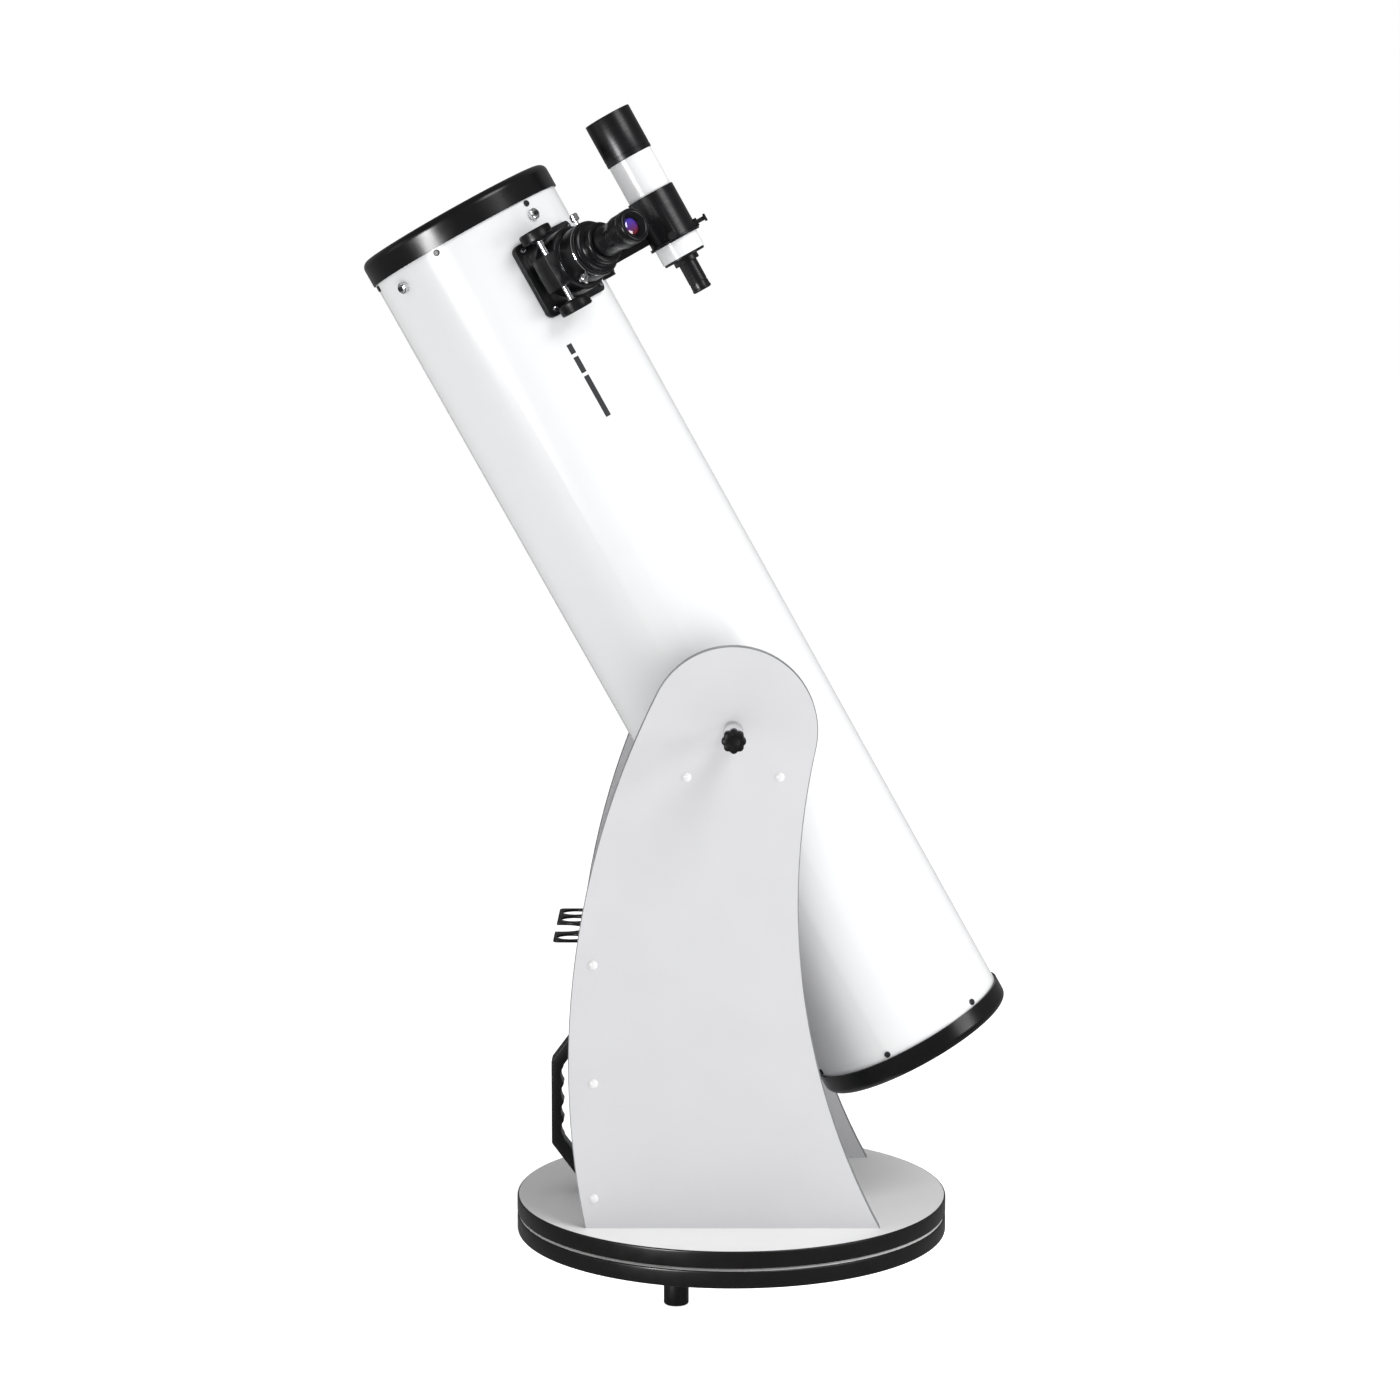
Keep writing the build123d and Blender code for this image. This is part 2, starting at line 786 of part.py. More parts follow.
def cell_screws():
    """Frames on the cell plate of the screws that hold it to the bottom ring."""
    return [at(cell_plate_r - cell_screw_in, angle, cell_plate_s) for angle in polar(6, 30)]


def shoe_screws():
    """Frames in the finder shoe's floor of the screws that hold it to the tube."""
    return [on_wall(finder_mid_s + x, 0, shoe_floor) for x in (-shoe_screw_x, shoe_screw_x)]


def screw_space(diameter, length):
    return disc(diameter / 2 + hole_play / 2, -length - hole_play, 0.01)


def main_tube():
    """Rolled steel tube with its drawtube opening and screw holes."""
    tube = ring(tube_r, tube_in, tail_s, mouth_s)
    tube -= on_wall(focuser_s, focuser_clock, 0) * disc(drawtube_d / 2 + opening_play, tube_r / 2, tube_r + 1)
    for frame, length in wall_screws():
        tube -= frame * disc(m4 / 2 + hole_play / 2, -length - 1, 1)
    for frame in bearing_screws():
        tube -= frame * disc(m4 / 2 + hole_play / 2, -tube_wall - 2, 1)
    for clock in vane_clocks:
        tube -= on_wall(vane_s, clock, tube_r) * disc(vane_stud_d / 2 + hole_play / 2, -tube_wall - 1, 1)
    for frame in shoe_screws():
        tube -= frame * disc(m4 / 2 + hole_play / 2, tube_in - shoe_floor - 1, 1)
    return on_tube(tube)


def end_ring(height):
    """End ring drawn from the tube's end upwards, with a skirt that fits inside the tube."""
    mouth = skirt_r - ring_wall - ring_lip
    bore = skirt_r - ring_wall
    body = turned(
        (bore, -ring_skirt),
        (skirt_r, -ring_skirt),
        (skirt_r, 0),
        (ring_r, 0),
        (ring_r, height),
        (mouth, height),
        (mouth, height - ring_wall),
        (bore, height - ring_wall - ring_lip),
    )
    rim = body.edges().filter_by(GeomType.CIRCLE).group_by(Axis.Z)[-1].sort_by(SortBy.RADIUS)[-1]
    return fillet(rim, ring_round)


def ring_screw_cuts(body, s):
    for clock in ring_screw_clocks:
        body -= on_wall(s, clock, tube_r) * screw_space(m4, ring_screw_l)
    return body


def top_ring():
    return on_tube(ring_screw_cuts(Pos(0, 0, mouth_s) * end_ring(top_ring_h), mouth_s - ring_screw_in))


def bottom_ring():
    """End ring of the mirror end, with a shelf under the cell plate."""
    body = Pos(0, 0, tail_s) * Rot(180, 0, 0) * end_ring(bottom_ring_h)
    shelf_low = tail_s - bottom_ring_h + ring_wall + 1
    shelf_high = cell_plate_low_s
    body += ring(skirt_r - ring_wall + 0.5, cell_plate_r - cell_shelf_w, shelf_low, shelf_high)
    for frame in cell_screws():
        body -= frame * screw_space(m4, cell_plate_t + m4_bite)
    return on_tube(ring_screw_cuts(body, tail_s + ring_screw_in))


def tube_screws():
    """All pan-head screws of the tube: end rings, focuser, bearings, cell plate and finder shoe."""
    solids = [frame * pan_screw(m4, length) for frame, length in wall_screws()]
    solids += [frame * pan_screw(m4, tube_wall + bearing_screw_bite) for frame in bearing_screws()]
    solids += [frame * pan_screw(m4, cell_plate_t + m4_bite) for frame in cell_screws()]
    solids += [frame * flat_screw(m4, m4_flat_head_d, shoe_floor - tube_in + 2) for frame in shoe_screws()]
    return group(on_tube(solid) for solid in solids)


def altitude_bearings():
    """Round bosses that saddle the tube's sides and turn on the cradle posts."""
    solids = []
    for side in (-1, 1):
        face = Plane(origin=(0, side * bearing_face, 0), x_dir=(1, 0, 0), z_dir=(0, side, 0)).location
        depth = bearing_face - sqrt(tube_r**2 - bearing_r**2) + 1
        boss = disc(bearing_r, -depth, 0)
        boss = chamfer(boss.edges().sort_by(Axis.Z)[-1], bearing_edge)
        boss -= disc(tension_bolt_d / 2 + slide_fit, -tension_bolt_in - 1, 1)
        solid = face * boss - disc(tube_r, -bearing_r - 5, bearing_r + 5)
        for frame in bearing_screws():
            solid -= frame * screw_space(m4, tube_wall + bearing_screw_bite)
        solids.append(on_tube(solid))
    return group(solids)


def tension_knob(side):
    """Lobed knob with its collared bolt, on the altitude axis of one panel."""
    knob = disc(tension_knob_d / 2, tension_collar_l, tension_collar_l + tension_knob_l)
    lobe_cut = tension_knob_d / 2 * sin(pi / tension_knob_lobes) * lobe_cut_share
    for angle in polar(tension_knob_lobes, 180 / tension_knob_lobes):
        cut = disc(lobe_cut, tension_collar_l - 1, tension_collar_l + tension_knob_l + 1)
        knob -= at(tension_knob_d / 2 + lobe_cut * lobe_cut_out, angle) * cut
    bolt_top = tension_collar_l + tension_knob_l * 0.6
    knob -= disc(tension_bolt_d / 2, 0, bolt_top)
    collar = disc(tension_collar_d / 2, curved_gap, tension_collar_l)
    collar = chamfer(collar.edges().sort_by(Axis.Z)[-1], 1.5)
    bolt = collar + disc(tension_bolt_d / 2, -panel_t - bearing_face_gap - tension_bolt_in, bolt_top)
    frame = along_y(0, side * panel_outer, axis_z, side)
    return group([frame * knob, frame * bolt])


# ---- Spider and secondary mirror ----
def spider():
    """Hub on four thin vanes whose end studs reach out through the tube."""
    hub = disc(hub_d / 2, hub_low_s, hub_top_s)
    hub = chamfer(hub.edges().sort_by(Axis.Z)[-1], 2)
    for x, d in tilt_screw_places():
        hub -= x * disc(d / 2 + hole_play / 2, hub_low_s - 1, hub_top_s + 1)
    solids = [on_tube(hub)]
    stud_top = tube_r + vane_nut_h + 1.5
    for clock in vane_clocks:
        vane = block(
            (-vane_h / 2, vane_h / 2), (-vane_t / 2, vane_t / 2), (hub_d / 2, tube_in - 3)
        ) + disc(vane_stud_d / 2, tube_in - 12, stud_top)
        solids.append(on_tube(on_wall(vane_s, clock, 0) * vane))
    return group(solids)


def tilt_screw_places():
    """Centre bolt and three tilt screws of the secondary holder: place and diameter."""
    return [(Pos(0, 0, 0), hub_bolt_d)] + [(at(tilt_screw_orbit, angle), m4) for angle in polar(3, 90)]


def spider_nuts():
    """Knurled thumb nuts on the vane studs."""
    nut = disc(vane_nut_d / 2, slide_fit, vane_nut_h)
    nut = chamfer(nut.edges().sort_by(Axis.Z)[-1], 1.2)
    nut -= disc(vane_stud_d / 2 + slide_fit, -1, vane_nut_h + 1)
    return group(on_tube(on_wall(vane_s, clock, tube_r) * nut) for clock in vane_clocks)


def mirror_plane(offset):
    """Plane of the secondary mirror, moved back from its reflecting face by an offset."""
    angle = radians(focuser_clock)
    normal = Vector(cos(angle), sin(angle), -1).normalized()
    origin = Vector(0, 0, focuser_s) - normal * offset
    return Plane(origin=origin, z_dir=normal).location


def secondary_mirror():
    """Flat elliptical mirror at 45 degrees, facing the focuser and the primary mirror."""
    rod = disc(secondary_d / 2, focuser_s - 60, focuser_s + 60)
    return on_tube(rod & mirror_plane(secondary_t) * disc(100, 0, secondary_t))


def secondary_holder():
    """Round stalk cut at 45 degrees, with the mirror on its slope."""
    stalk = disc(holder_d / 2, focuser_s - 60, holder_top_s)
    stalk -= mirror_plane(secondary_t) * disc(150, 0, 200)
    stalk -= disc((hub_bolt_d + hole_play) / 2, holder_top_s - hub_bolt_in - 2, holder_top_s + 1)
    return on_tube(stalk)


def secondary_screws():
    """Centre bolt into the holder and three tilt screws that bear on it."""
    solids = []
    for place, d in tilt_screw_places():
        reach = holder_top_s - hub_bolt_in if d > m4 else holder_top_s
        screw = Pos(0, 0, hub_top_s) * pan_screw(d, hub_top_s - reach)
        solids.append(on_tube(place * screw))
    return group(solids)


# ---- Primary mirror and cell ----
def primary_mirror():
    """Round glass mirror with a hollow front face."""
    blank = disc(mirror_r, mirror_back_s, mirror_front_s)
    curve = 2 * focal_length
    sag = curve - sqrt(curve**2 - mirror_r**2)
    blank -= Pos(0, 0, mirror_front_s - sag + curve) * Sphere(curve)
    return on_tube(blank)


def mirror_cell():
    """Carrier plate under the mirror, on three bolts."""
    plate = ring(cell_r, cell_bore_d / 2, cell_low_s, mirror_back_s)
    hole = disc(cell_hole_d / 2, cell_low_s - 1, mirror_back_s + 1)
    for angle in polar(6, 30):
        plate -= at(cell_r * cell_hole_share, angle) * hole
    for clock in collimation_clocks:
        bore = disc(collimation_bolt_d / 2 + slide_fit, cell_low_s - 1, mirror_back_s + 1)
        plate -= at(collimation_radius, clock) * bore
    return on_tube(plate)


def mirror_clips():
    """Posts on the carrier's rim whose tongues hold the mirror's edge."""
    inner = mirror_r + 1
    tongue_low = mirror_front_s + 0.5
    clip = block((inner, cell_r), (-clip_w / 2, clip_w / 2), (mirror_back_s, tongue_low + clip_t))
    clip += block((inner - clip_reach, cell_r), (-clip_w / 2, clip_w / 2), (tongue_low, tongue_low + clip_t))
    return group(on_tube(Rot(0, 0, clock) * clip) for clock in clip_clocks)


def cell_plate():
    """Plate across the bottom ring that the collimation springs push against."""
    low = cell_plate_low_s
    plate = ring(cell_plate_r, cell_plate_bore_d / 2, low, cell_plate_s)
    bolt_hole = disc(collimation_bolt_d / 2 + running, low - 1, cell_plate_s + 1)
    for clock in collimation_clocks:
        plate -= at(collimation_radius, clock) * bolt_hole
    for clock in clip_clocks:
        plate -= at(collimation_radius, clock) * disc(lock_d / 2 + slide_fit, low - 1, cell_plate_s + 1)
        plate -= at(collimation_radius, clock + 30) * disc(cell_plate_hole_d / 2, low - 1, cell_plate_s + 1)
    for frame in cell_screws():
        plate -= frame * disc(m4 / 2 + hole_play / 2, -cell_plate_t - 1, 1)
    return on_tube(plate)


def collimation_springs():
    """Wire springs between the cell plate and the carrier."""
    length = cell_low_s - cell_plate_s - spring_wire
    coil_r = (spring_d - spring_wire) / 2
    path = Helix(pitch=length / spring_turns, height=length, radius=coil_r)
    section = Plane(origin=path @ 0, z_dir=path % 0) * Circle(spring_wire / 2)
    spring = Pos(0, 0, cell_plate_s + spring_wire / 2) * sweep(section, path=path)
    return group(on_tube(at(collimation_radius, clock) * spring) for clock in collimation_clocks)


def collimation_knob(clock):
    """Knob below the cell plate on the bolt that pulls the carrier down."""
    top = cell_plate_low_s - knob_stand_off
    knob = disc(collimation_knob_d / 2, top - collimation_knob_h, top)
    for angle in polar(collimation_grooves):
        knob -= at(collimation_knob_d / 2 + 0.8, angle) * disc(2, top - collimation_knob_h - 1, top + 1)
    bolt = disc(collimation_bolt_d / 2, top - 1, mirror_back_s - 0.5)
    return on_tube(at(collimation_radius, clock) * (knob + bolt))


def lock_screws():
    """Thumb-headed screws through the cell plate that bear on the carrier."""
    top = cell_plate_low_s - knob_stand_off
    screw = disc(lock_head_d / 2, top - lock_head_h, top) + disc(lock_d / 2, top - 1, cell_low_s)
    return group(on_tube(at(collimation_radius, clock) * screw) for clock in clip_clocks)


# ---- Focuser ----
def focuser_base():
    """Saddle on the tube with the drawtube housing and the drive shaft's block, as one casting."""
    rods = [Rot(0, 90, 0) * Cylinder(r, saddle_l) for r in (tube_r + saddle_t, tube_r)]
    outline = extrude(RectangleRounded(saddle_l, saddle_w, saddle_corner), 2 * tube_r)
    saddle = (rods[0] & outline) - rods[1]
    housing = disc(housing_r, tube_r / 2, housing_top)
    housing = chamfer(housing.edges().sort_by(Axis.Z)[-1], 2)
    half = block_l / 2
    block_low = shaft_above - block_h / 2 - 1
    drive = block((-half, half), (drawtube_d / 4, housing_r + block_proud), (block_low, housing_top))
    body = saddle + (housing + drive - rods[1])
    body -= disc(drawtube_d / 2 + running, tube_r / 2 - 1, housing_top + 1)
    shaft_bore = Rot(0, 90, 0) * Cylinder(shaft_d / 2 + slide_fit, 2 * housing_r)
    body -= Pos(0, shaft_offset, shaft_above) * shaft_bore
    solid = on_focuser(body)
    for frame, length in wall_screws()[-4:]:
        solid -= on_tube(frame * disc(m4 / 2 + hole_play / 2, -length - 1, 1))
    return solid


def drawtube():
    """Chromed tube that slides along the eyepiece axis, with a flat that the drive shaft rolls on."""
    body = ring(drawtube_d / 2, drawtube_bore / 2, drawtube_low, collar_low)
    flat = drawtube_d / 2 - drawtube_flat
    half = drawtube_flat_w / 2
    body -= block((-half, half), (flat, flat + 10), (drawtube_low - 1, collar_low - 1))
    body += ring(sleeve_r, drawtube_bore / 2, collar_low, sleeve_top)
    return on_focuser(body)


def clamp_frame(angle):
    """Frame of a clamp screw, with Z outwards from the eyepiece axis."""
    a = radians(angle)
    return Plane(origin=(0, 0, clamp_s), x_dir=(0, 0, 1), z_dir=(cos(a), sin(a), 0)).location


def drawtube_collar():
    """Collar on the drawtube that clamps the adapter."""
    collar = ring(collar_r, adapter_barrel_d / 2 + running, collar_low, collar_high)
    collar -= disc(sleeve_r + slide_fit, collar_low - 1, sleeve_top)
    groove_low = collar_high - 3 * collar_groove
    collar -= ring(collar_r + 1, collar_r - collar_groove, groove_low, groove_low + collar_groove)
    for angle in clamp_angles.values():
        collar -= clamp_frame(angle) * disc(clamp_d / 2 + slide_fit, collar_r / 2, collar_r + 1)
    return on_focuser(collar)


def collar_screw(angle):
    """Thumbscrew in the collar whose tip bears on the adapter's barrel."""
    tip = adapter_barrel_d / 2 + slide_fit
    head = collar_r + clamp_head_gap
    screw = disc(clamp_d / 2, tip, head) + disc(clamp_head_d / 2, head, head + clamp_head_l)
    screw = chamfer(screw.edges().sort_by(Axis.Z)[-1], 1)
    return on_focuser(clamp_frame(angle) * screw)


def focus_shaft():
    """Drive shaft that rolls on the drawtube's flat."""
    half = knob_gap + focus_knob_l - knob_cap_t
    shaft = Rot(0, 90, 0) * Cylinder(shaft_d / 2, 2 * half)
    return on_focuser(Pos(0, shaft_offset, shaft_above) * shaft)


def focus_knobs():
    knob = disc(focus_knob_d / 2, knob_gap, knob_gap + focus_knob_l)
    knob = chamfer(knob.edges().group_by(Axis.Z)[-1] + knob.edges().group_by(Axis.Z)[0], 1.5)
    knob -= disc(shaft_d / 2 + slide_fit, 0, knob_gap + focus_knob_l - knob_cap_t)
    place = Pos(0, shaft_offset, shaft_above)
    return group(on_focuser(place * Rot(0, turn, 0) * knob) for turn in (90, -90))


def eyepiece_adapter():
    """Step-down adapter clamped in the collar, bored for the eyepiece's barrel."""
    bore = eyepiece_barrel_d / 2 + running
    flange_top = collar_high + adapter_flange_t
    return on_focuser(
        turned(
            (bore, collar_high - adapter_barrel_l),
            (adapter_barrel_d / 2, collar_high - adapter_barrel_l),
            (adapter_barrel_d / 2, collar_high),
            (adapter_flange_d / 2, collar_high),
            (adapter_flange_d / 2, flange_top - 1),
            (adapter_neck_d / 2, flange_top + 1),
            (adapter_neck_d / 2, adapter_top - 1),
            (adapter_neck_d / 2 - 1, adapter_top),
            (bore, adapter_top),
        )
    )


def eyepiece_body():
    """Eyepiece with its barrel in the adapter, widening to the eye end with a dished top."""
    r = eyepiece_barrel_d / 2
    inner = r - eyepiece_wall
    waist = eyepiece_waist_d / 2
    top = eyepiece_top_d / 2
    lens = eye_lens_d / 2
    seat = eyepiece_top - eye_lens_depth - lens_t
    return on_focuser(
        turned(
            (inner, adapter_top - eyepiece_barrel_l),
            (r, adapter_top - eyepiece_barrel_l),
            (r, adapter_top),
            (waist + 1, adapter_top),
            (waist + 1, adapter_top + 5),
            (waist, adapter_top + 7),
            (waist, adapter_top + 22),
            (top, adapter_top + 32),
            (top, eyepiece_top - 2),
            (top - 2, eyepiece_top),
            (lens + eye_dish_w, eyepiece_top),
            (lens, eyepiece_top - eye_lens_depth),
            (lens, seat),
            (lens - eye_lens_lip, seat),
            (lens - eye_lens_lip, adapter_top + 5),
            (inner, adapter_top + 5),
        )
    )


def eyepiece_lens():
    low = eyepiece_top - eye_lens_depth - lens_t
    lens = disc(eye_lens_d / 2, low, low + lens_t)
    return on_focuser(lens)


# ---- Finder ----
def finder_tube():
    """Straight tube with a shallow waist where the bracket holds it."""
    r = finder_r
    waist = finder_waist_r
    return on_finder(
        turned(
            (r - finder_wall, finder_low),
            (r, finder_low),
            (r, finder_waist_low - 1),
            (waist, finder_waist_low),
            (waist, finder_waist_high),
            (r, finder_waist_high + 1),
            (r, finder_high),
            (r - finder_wall, finder_high),
            (r - finder_wall, finder_waist_high + 2),
            (waist - finder_wall, finder_waist_high + 1),
            (waist - finder_wall, finder_waist_low - 1),
            (r - finder_wall, finder_waist_low - 2),
        )
    )


def finder_hood():
    """Dew hood over the tube's front end, with the objective lens in its shelf."""
    seat = finder_high + 1
    r = finder_r + hood_proud
    bore = finder_r + running
    hood = turned(
        (bore, hood_low),
        (r, hood_low),
        (r, hood_high - 1),
        (r - 1, hood_high),
        (r - hood_wall, hood_high),
        (r - hood_wall, seat + objective_t + 2),
        (bore - 1, seat + objective_t),
        (bore - 1, seat),
        (bore, seat),
    )
    lens = disc(bore - 1, seat, seat + objective_t)
    return group([on_finder(hood), on_finder(lens)])


def finder_eyepiece():
    """End cap of the finder tube with its neck and slim eyepiece."""
    end = finder_low - tail_l
    neck = end - tail_neck_l
    tip = neck - tail_barrel_l
    inner = finder_r - finder_wall - slide_fit
    cap = finder_r - tail_step
    bore = tail_bore_d / 2
    return on_finder(
        turned(
            (bore, finder_low + tail_plug_l),
            (inner, finder_low + tail_plug_l),
            (inner, finder_low),
            (cap, finder_low),
            (cap - 1, end),
            (tail_neck_d / 2, end),
            (tail_neck_d / 2, neck),
            (tail_barrel_d / 2, neck),
            (tail_barrel_d / 2, tip + 3),
            (tail_barrel_d / 2 + 0.6, tip + 2),
            (tail_barrel_d / 2 + 0.6, tip + 1),
            (tail_barrel_d / 2 - 1, tip),
            (bore, tip),
        )
    )


def finder_bracket():
    """Ring round the finder with screw bosses, a stalk and a dovetail foot."""
    body = disc(bracket_r, bracket_low, bracket_high)
    body += disc(bracket_r + bracket_flange_out, bracket_low, bracket_low + bracket_flange_t)
    for clock in (*adjuster_clocks.values(), plunger_clock):
        body += on_wall(adjuster_s, clock, 0) * disc(adjuster_boss_d / 2, bracket_r / 2, boss_top)
    half = stalk_l / 2
    s = (finder_mid_s - half, finder_mid_s + half)
    foot_top = dovetail_lift + dovetail_h - finder_lift
    body += block((foot_top - 1, -bracket_bore_r), (-stalk_w / 2, stalk_w / 2), s)
    low, top = dovetail_low_w / 2, dovetail_top_w / 2
    tail = make_face(Polyline((0, -low), (dovetail_h, -top), (dovetail_h, top), (0, low), close=True))
    body += Pos(foot_top - dovetail_h, 0, finder_mid_s - dovetail_l / 2) * extrude(tail, dovetail_l)
    body -= disc(bracket_bore_r, bracket_low - 1, bracket_high + 1)
    for clock in (*adjuster_clocks.values(), plunger_clock):
        body -= on_wall(adjuster_s, clock, 0) * disc(adjuster_d / 2 + slide_fit, bracket_r / 2, boss_top + 1)
    return on_finder(body)


def finder_adjuster(clock):
    """Thumbscrew through the bracket whose tip bears on the finder's waist."""
    tip = finder_waist_r + slide_fit
    head = adjuster_reach - adjuster_head_h
    screw = disc(adjuster_d / 2, tip, head) + disc(adjuster_head_d / 2, head, adjuster_reach)
    return on_finder(on_wall(adjuster_s, clock, 0) * screw)


def finder_plunger():
    """Sprung pin that presses the finder against both thumbscrews."""
    tip = finder_waist_r + slide_fit
    pin = disc(adjuster_d / 2, tip, boss_top + plunger_proud)
    pin = fillet(pin.edges().sort_by(Axis.Z)[-1], 1)
    return on_finder(on_wall(adjuster_s, plunger_clock, 0) * pin)


def finder_shoe():
    """Dovetail shoe on the tube that the bracket's foot slides into."""
    top = dovetail_lift + dovetail_h - 1
    s = (finder_mid_s - shoe_l / 2, finder_mid_s + shoe_l / 2)
    body = block((tube_r - 8, top), (-shoe_w / 2, shoe_w / 2), s)
    play = slide_fit + 0.05
    low, high = dovetail_low_w / 2 + play, dovetail_top_w / 2 + play
    slope = (low - high) / dovetail_h
    far = dovetail_h + 2
    far_half = low - slope * far
    profile = Polyline((-play, -low), (far, -far_half), (far, far_half), (-play, low), close=True)
    groove = extrude(make_face(profile), shoe_l + 2)
    body -= Pos(dovetail_lift, 0, s[0] - 1) * groove
    body -= disc(tube_r, s[0] - 1, s[1] + 1)
    for frame in shoe_screws():
        body -= frame * flat_screw_hole(m4, m4_flat_head_d, dovetail_lift)
    return on_tube(body)


# ---- Sub-parts by name ----
nodes = {
    "ground_board": ground_board,
    "ground_board_edging": lambda: round_edging(ground_low),
    "feet": feet,
    "foot_screws": foot_screws,
    "azimuth_pads": azimuth_pads,
    "pivot_bolt": pivot_bolt,
    "pivot_nut": pivot_nut,
    "top_board": top_board,
    "top_board_edging": lambda: round_edging(board_low),
    "pivot_bush": pivot_bush,
    "side_panel_near": lambda: side_panel(-1),
    "side_panel_far": lambda: side_panel(1),
    "panel_edging": panel_edging,
    "front_board": front_board,
    "front_board_edging": front_board_edging,
    "furniture_screws": furniture_screws,
    "screw_caps": screw_caps,
    "cradle_pads": cradle_pads,
    "carry_handle": carry_handle,
    "eyepiece_rack": eyepiece_rack,
    "pan_screws": pan_screws,
    "main_tube": main_tube,
    "top_ring": top_ring,
    "bottom_ring": bottom_ring,
    "tube_screws": tube_screws,
    "altitude_bearings": altitude_bearings,
    "tension_knob_near": lambda: tension_knob(-1),
    "tension_knob_far": lambda: tension_knob(1),
    "spider": spider,
    "spider_nuts": spider_nuts,
    "secondary_holder": secondary_holder,
    "secondary_mirror": secondary_mirror,
    "secondary_screws": secondary_screws,
    "primary_mirror": primary_mirror,
    "mirror_cell": mirror_cell,
    "mirror_clips": mirror_clips,
    "cell_plate": cell_plate,
    "collimation_springs": collimation_springs,
    "lock_screws": lock_screws,
    "focuser_base": focuser_base,
    "drawtube": drawtube,
    "drawtube_collar": drawtube_collar,
    "focus_shaft": focus_shaft,
    "focus_knobs": focus_knobs,
    "eyepiece_adapter": eyepiece_adapter,
    "eyepiece_body": eyepiece_body,
    "eyepiece_lens": eyepiece_lens,
    "finder_shoe": finder_shoe,
    "finder_bracket": finder_bracket,
    "finder_tube": finder_tube,
    "finder_hood": finder_hood,
    "finder_eyepiece": finder_eyepiece,
    "finder_plunger": finder_plunger,
}
for number, clock in enumerate(collimation_clocks, start=1):
    nodes[f"collimation_knob_{number}"] = lambda clock=clock: collimation_knob(clock)
for name, angle in clamp_angles.items():
    nodes[f"collar_screw_{name}"] = lambda angle=angle: collar_screw(angle)
for name, clock in adjuster_clocks.items():
    nodes[f"finder_adjuster_{name}"] = lambda clock=clock: finder_adjuster(clock)

os.makedirs("parts", exist_ok=True)
for name, make in nodes.items():
    export_step(make(), f"parts/{name}.step")
print(len(nodes), "sub-parts")
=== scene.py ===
import json
from math import atan2, cos, degrees, pi, radians, sin

import bpy
from mathutils import Matrix, Vector


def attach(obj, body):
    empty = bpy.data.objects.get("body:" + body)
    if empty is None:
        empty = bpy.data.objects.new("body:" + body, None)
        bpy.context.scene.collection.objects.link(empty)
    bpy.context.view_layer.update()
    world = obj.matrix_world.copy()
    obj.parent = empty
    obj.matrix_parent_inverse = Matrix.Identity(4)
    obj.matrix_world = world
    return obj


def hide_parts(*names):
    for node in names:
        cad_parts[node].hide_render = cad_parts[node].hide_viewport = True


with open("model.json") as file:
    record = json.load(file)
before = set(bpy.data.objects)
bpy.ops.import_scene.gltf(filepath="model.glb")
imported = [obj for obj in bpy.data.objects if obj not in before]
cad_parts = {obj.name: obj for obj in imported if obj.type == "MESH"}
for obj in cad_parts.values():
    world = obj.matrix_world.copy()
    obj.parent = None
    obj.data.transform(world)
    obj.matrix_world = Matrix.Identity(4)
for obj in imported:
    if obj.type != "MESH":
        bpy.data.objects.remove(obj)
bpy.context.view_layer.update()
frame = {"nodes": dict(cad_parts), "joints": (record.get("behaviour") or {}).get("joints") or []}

mm = 0.001
merge_gap = 0.002 * mm

# ---- Places that the frame gives ----
joints = {joint["name"]: joint for joint in frame["joints"]}
altitude = Vector(joints["altitude_tilt"]["pos_m"])
tube_axis = -Vector(joints["finder_out"]["axis"])
eye_axis = Vector(joints["focus_travel"]["axis"])
axis_y = Vector((0, 1, 0))


def frame_from(origin, x, z):
    """Matrix of a frame from its origin, X direction and Z direction."""
    y = z.cross(x)
    rows = [[x[i], y[i], z[i], origin[i]] for i in range(3)]
    return Matrix(rows + [[0, 0, 0, 1]])


finder_side = axis_y.cross(tube_axis)
tube_frame = frame_from(altitude, finder_side, tube_axis)


def points_in(node, place):
    """A node's corners measured in a frame."""
    back = place.inverted()
    return [back @ v.co for v in frame["nodes"][node].data.vertices]


def reach(node, place):
    """Lowest height, highest height and largest radius of a node in a frame, in millimetres."""
    points = points_in(node, place)
    heights = [p.z for p in points]
    radius = max((p.x**2 + p.y**2) ** 0.5 for p in points)
    return min(heights) / mm, max(heights) / mm, radius / mm


# ---- Material building blocks ----
def new_material(name, color, roughness, metallic=0.0, specular=0.5, coat=0.0):
    """A material with its plain values set on the shader, ready for patterns."""
    material = bpy.data.materials.new(name)
    material.use_nodes = True
    shader = material.node_tree.nodes["Principled BSDF"]
    shader.inputs["Base Color"].default_value = (*color, 1)
    shader.inputs["Roughness"].default_value = roughness
    shader.inputs["Metallic"].default_value = metallic
    shader.inputs["Specular IOR Level"].default_value = specular
    shader.inputs["Coat Weight"].default_value = coat
    return material


def add_node(material, kind, **settings):
    """A shader node of a kind with its settings."""
    node = material.node_tree.nodes.new(kind)
    for name, value in settings.items():
        setattr(node, name, value)
    return node


def link(material, start, end):
    """Joins an output to an input."""
    material.node_tree.links.new(start, end)


def object_coords(material, turn=None):
    """Object coordinates, or those seen from a frame such as the tube's."""
    coords = add_node(material, "ShaderNodeTexCoord").outputs["Object"]
    if turn is None:
        return coords
    mapping = add_node(material, "ShaderNodeMapping", vector_type="TEXTURE")
    mapping.inputs["Location"].default_value = turn.translation
    mapping.inputs["Rotation"].default_value = turn.to_euler()
    link(material, coords, mapping.inputs["Vector"])
    return mapping.outputs["Vector"]


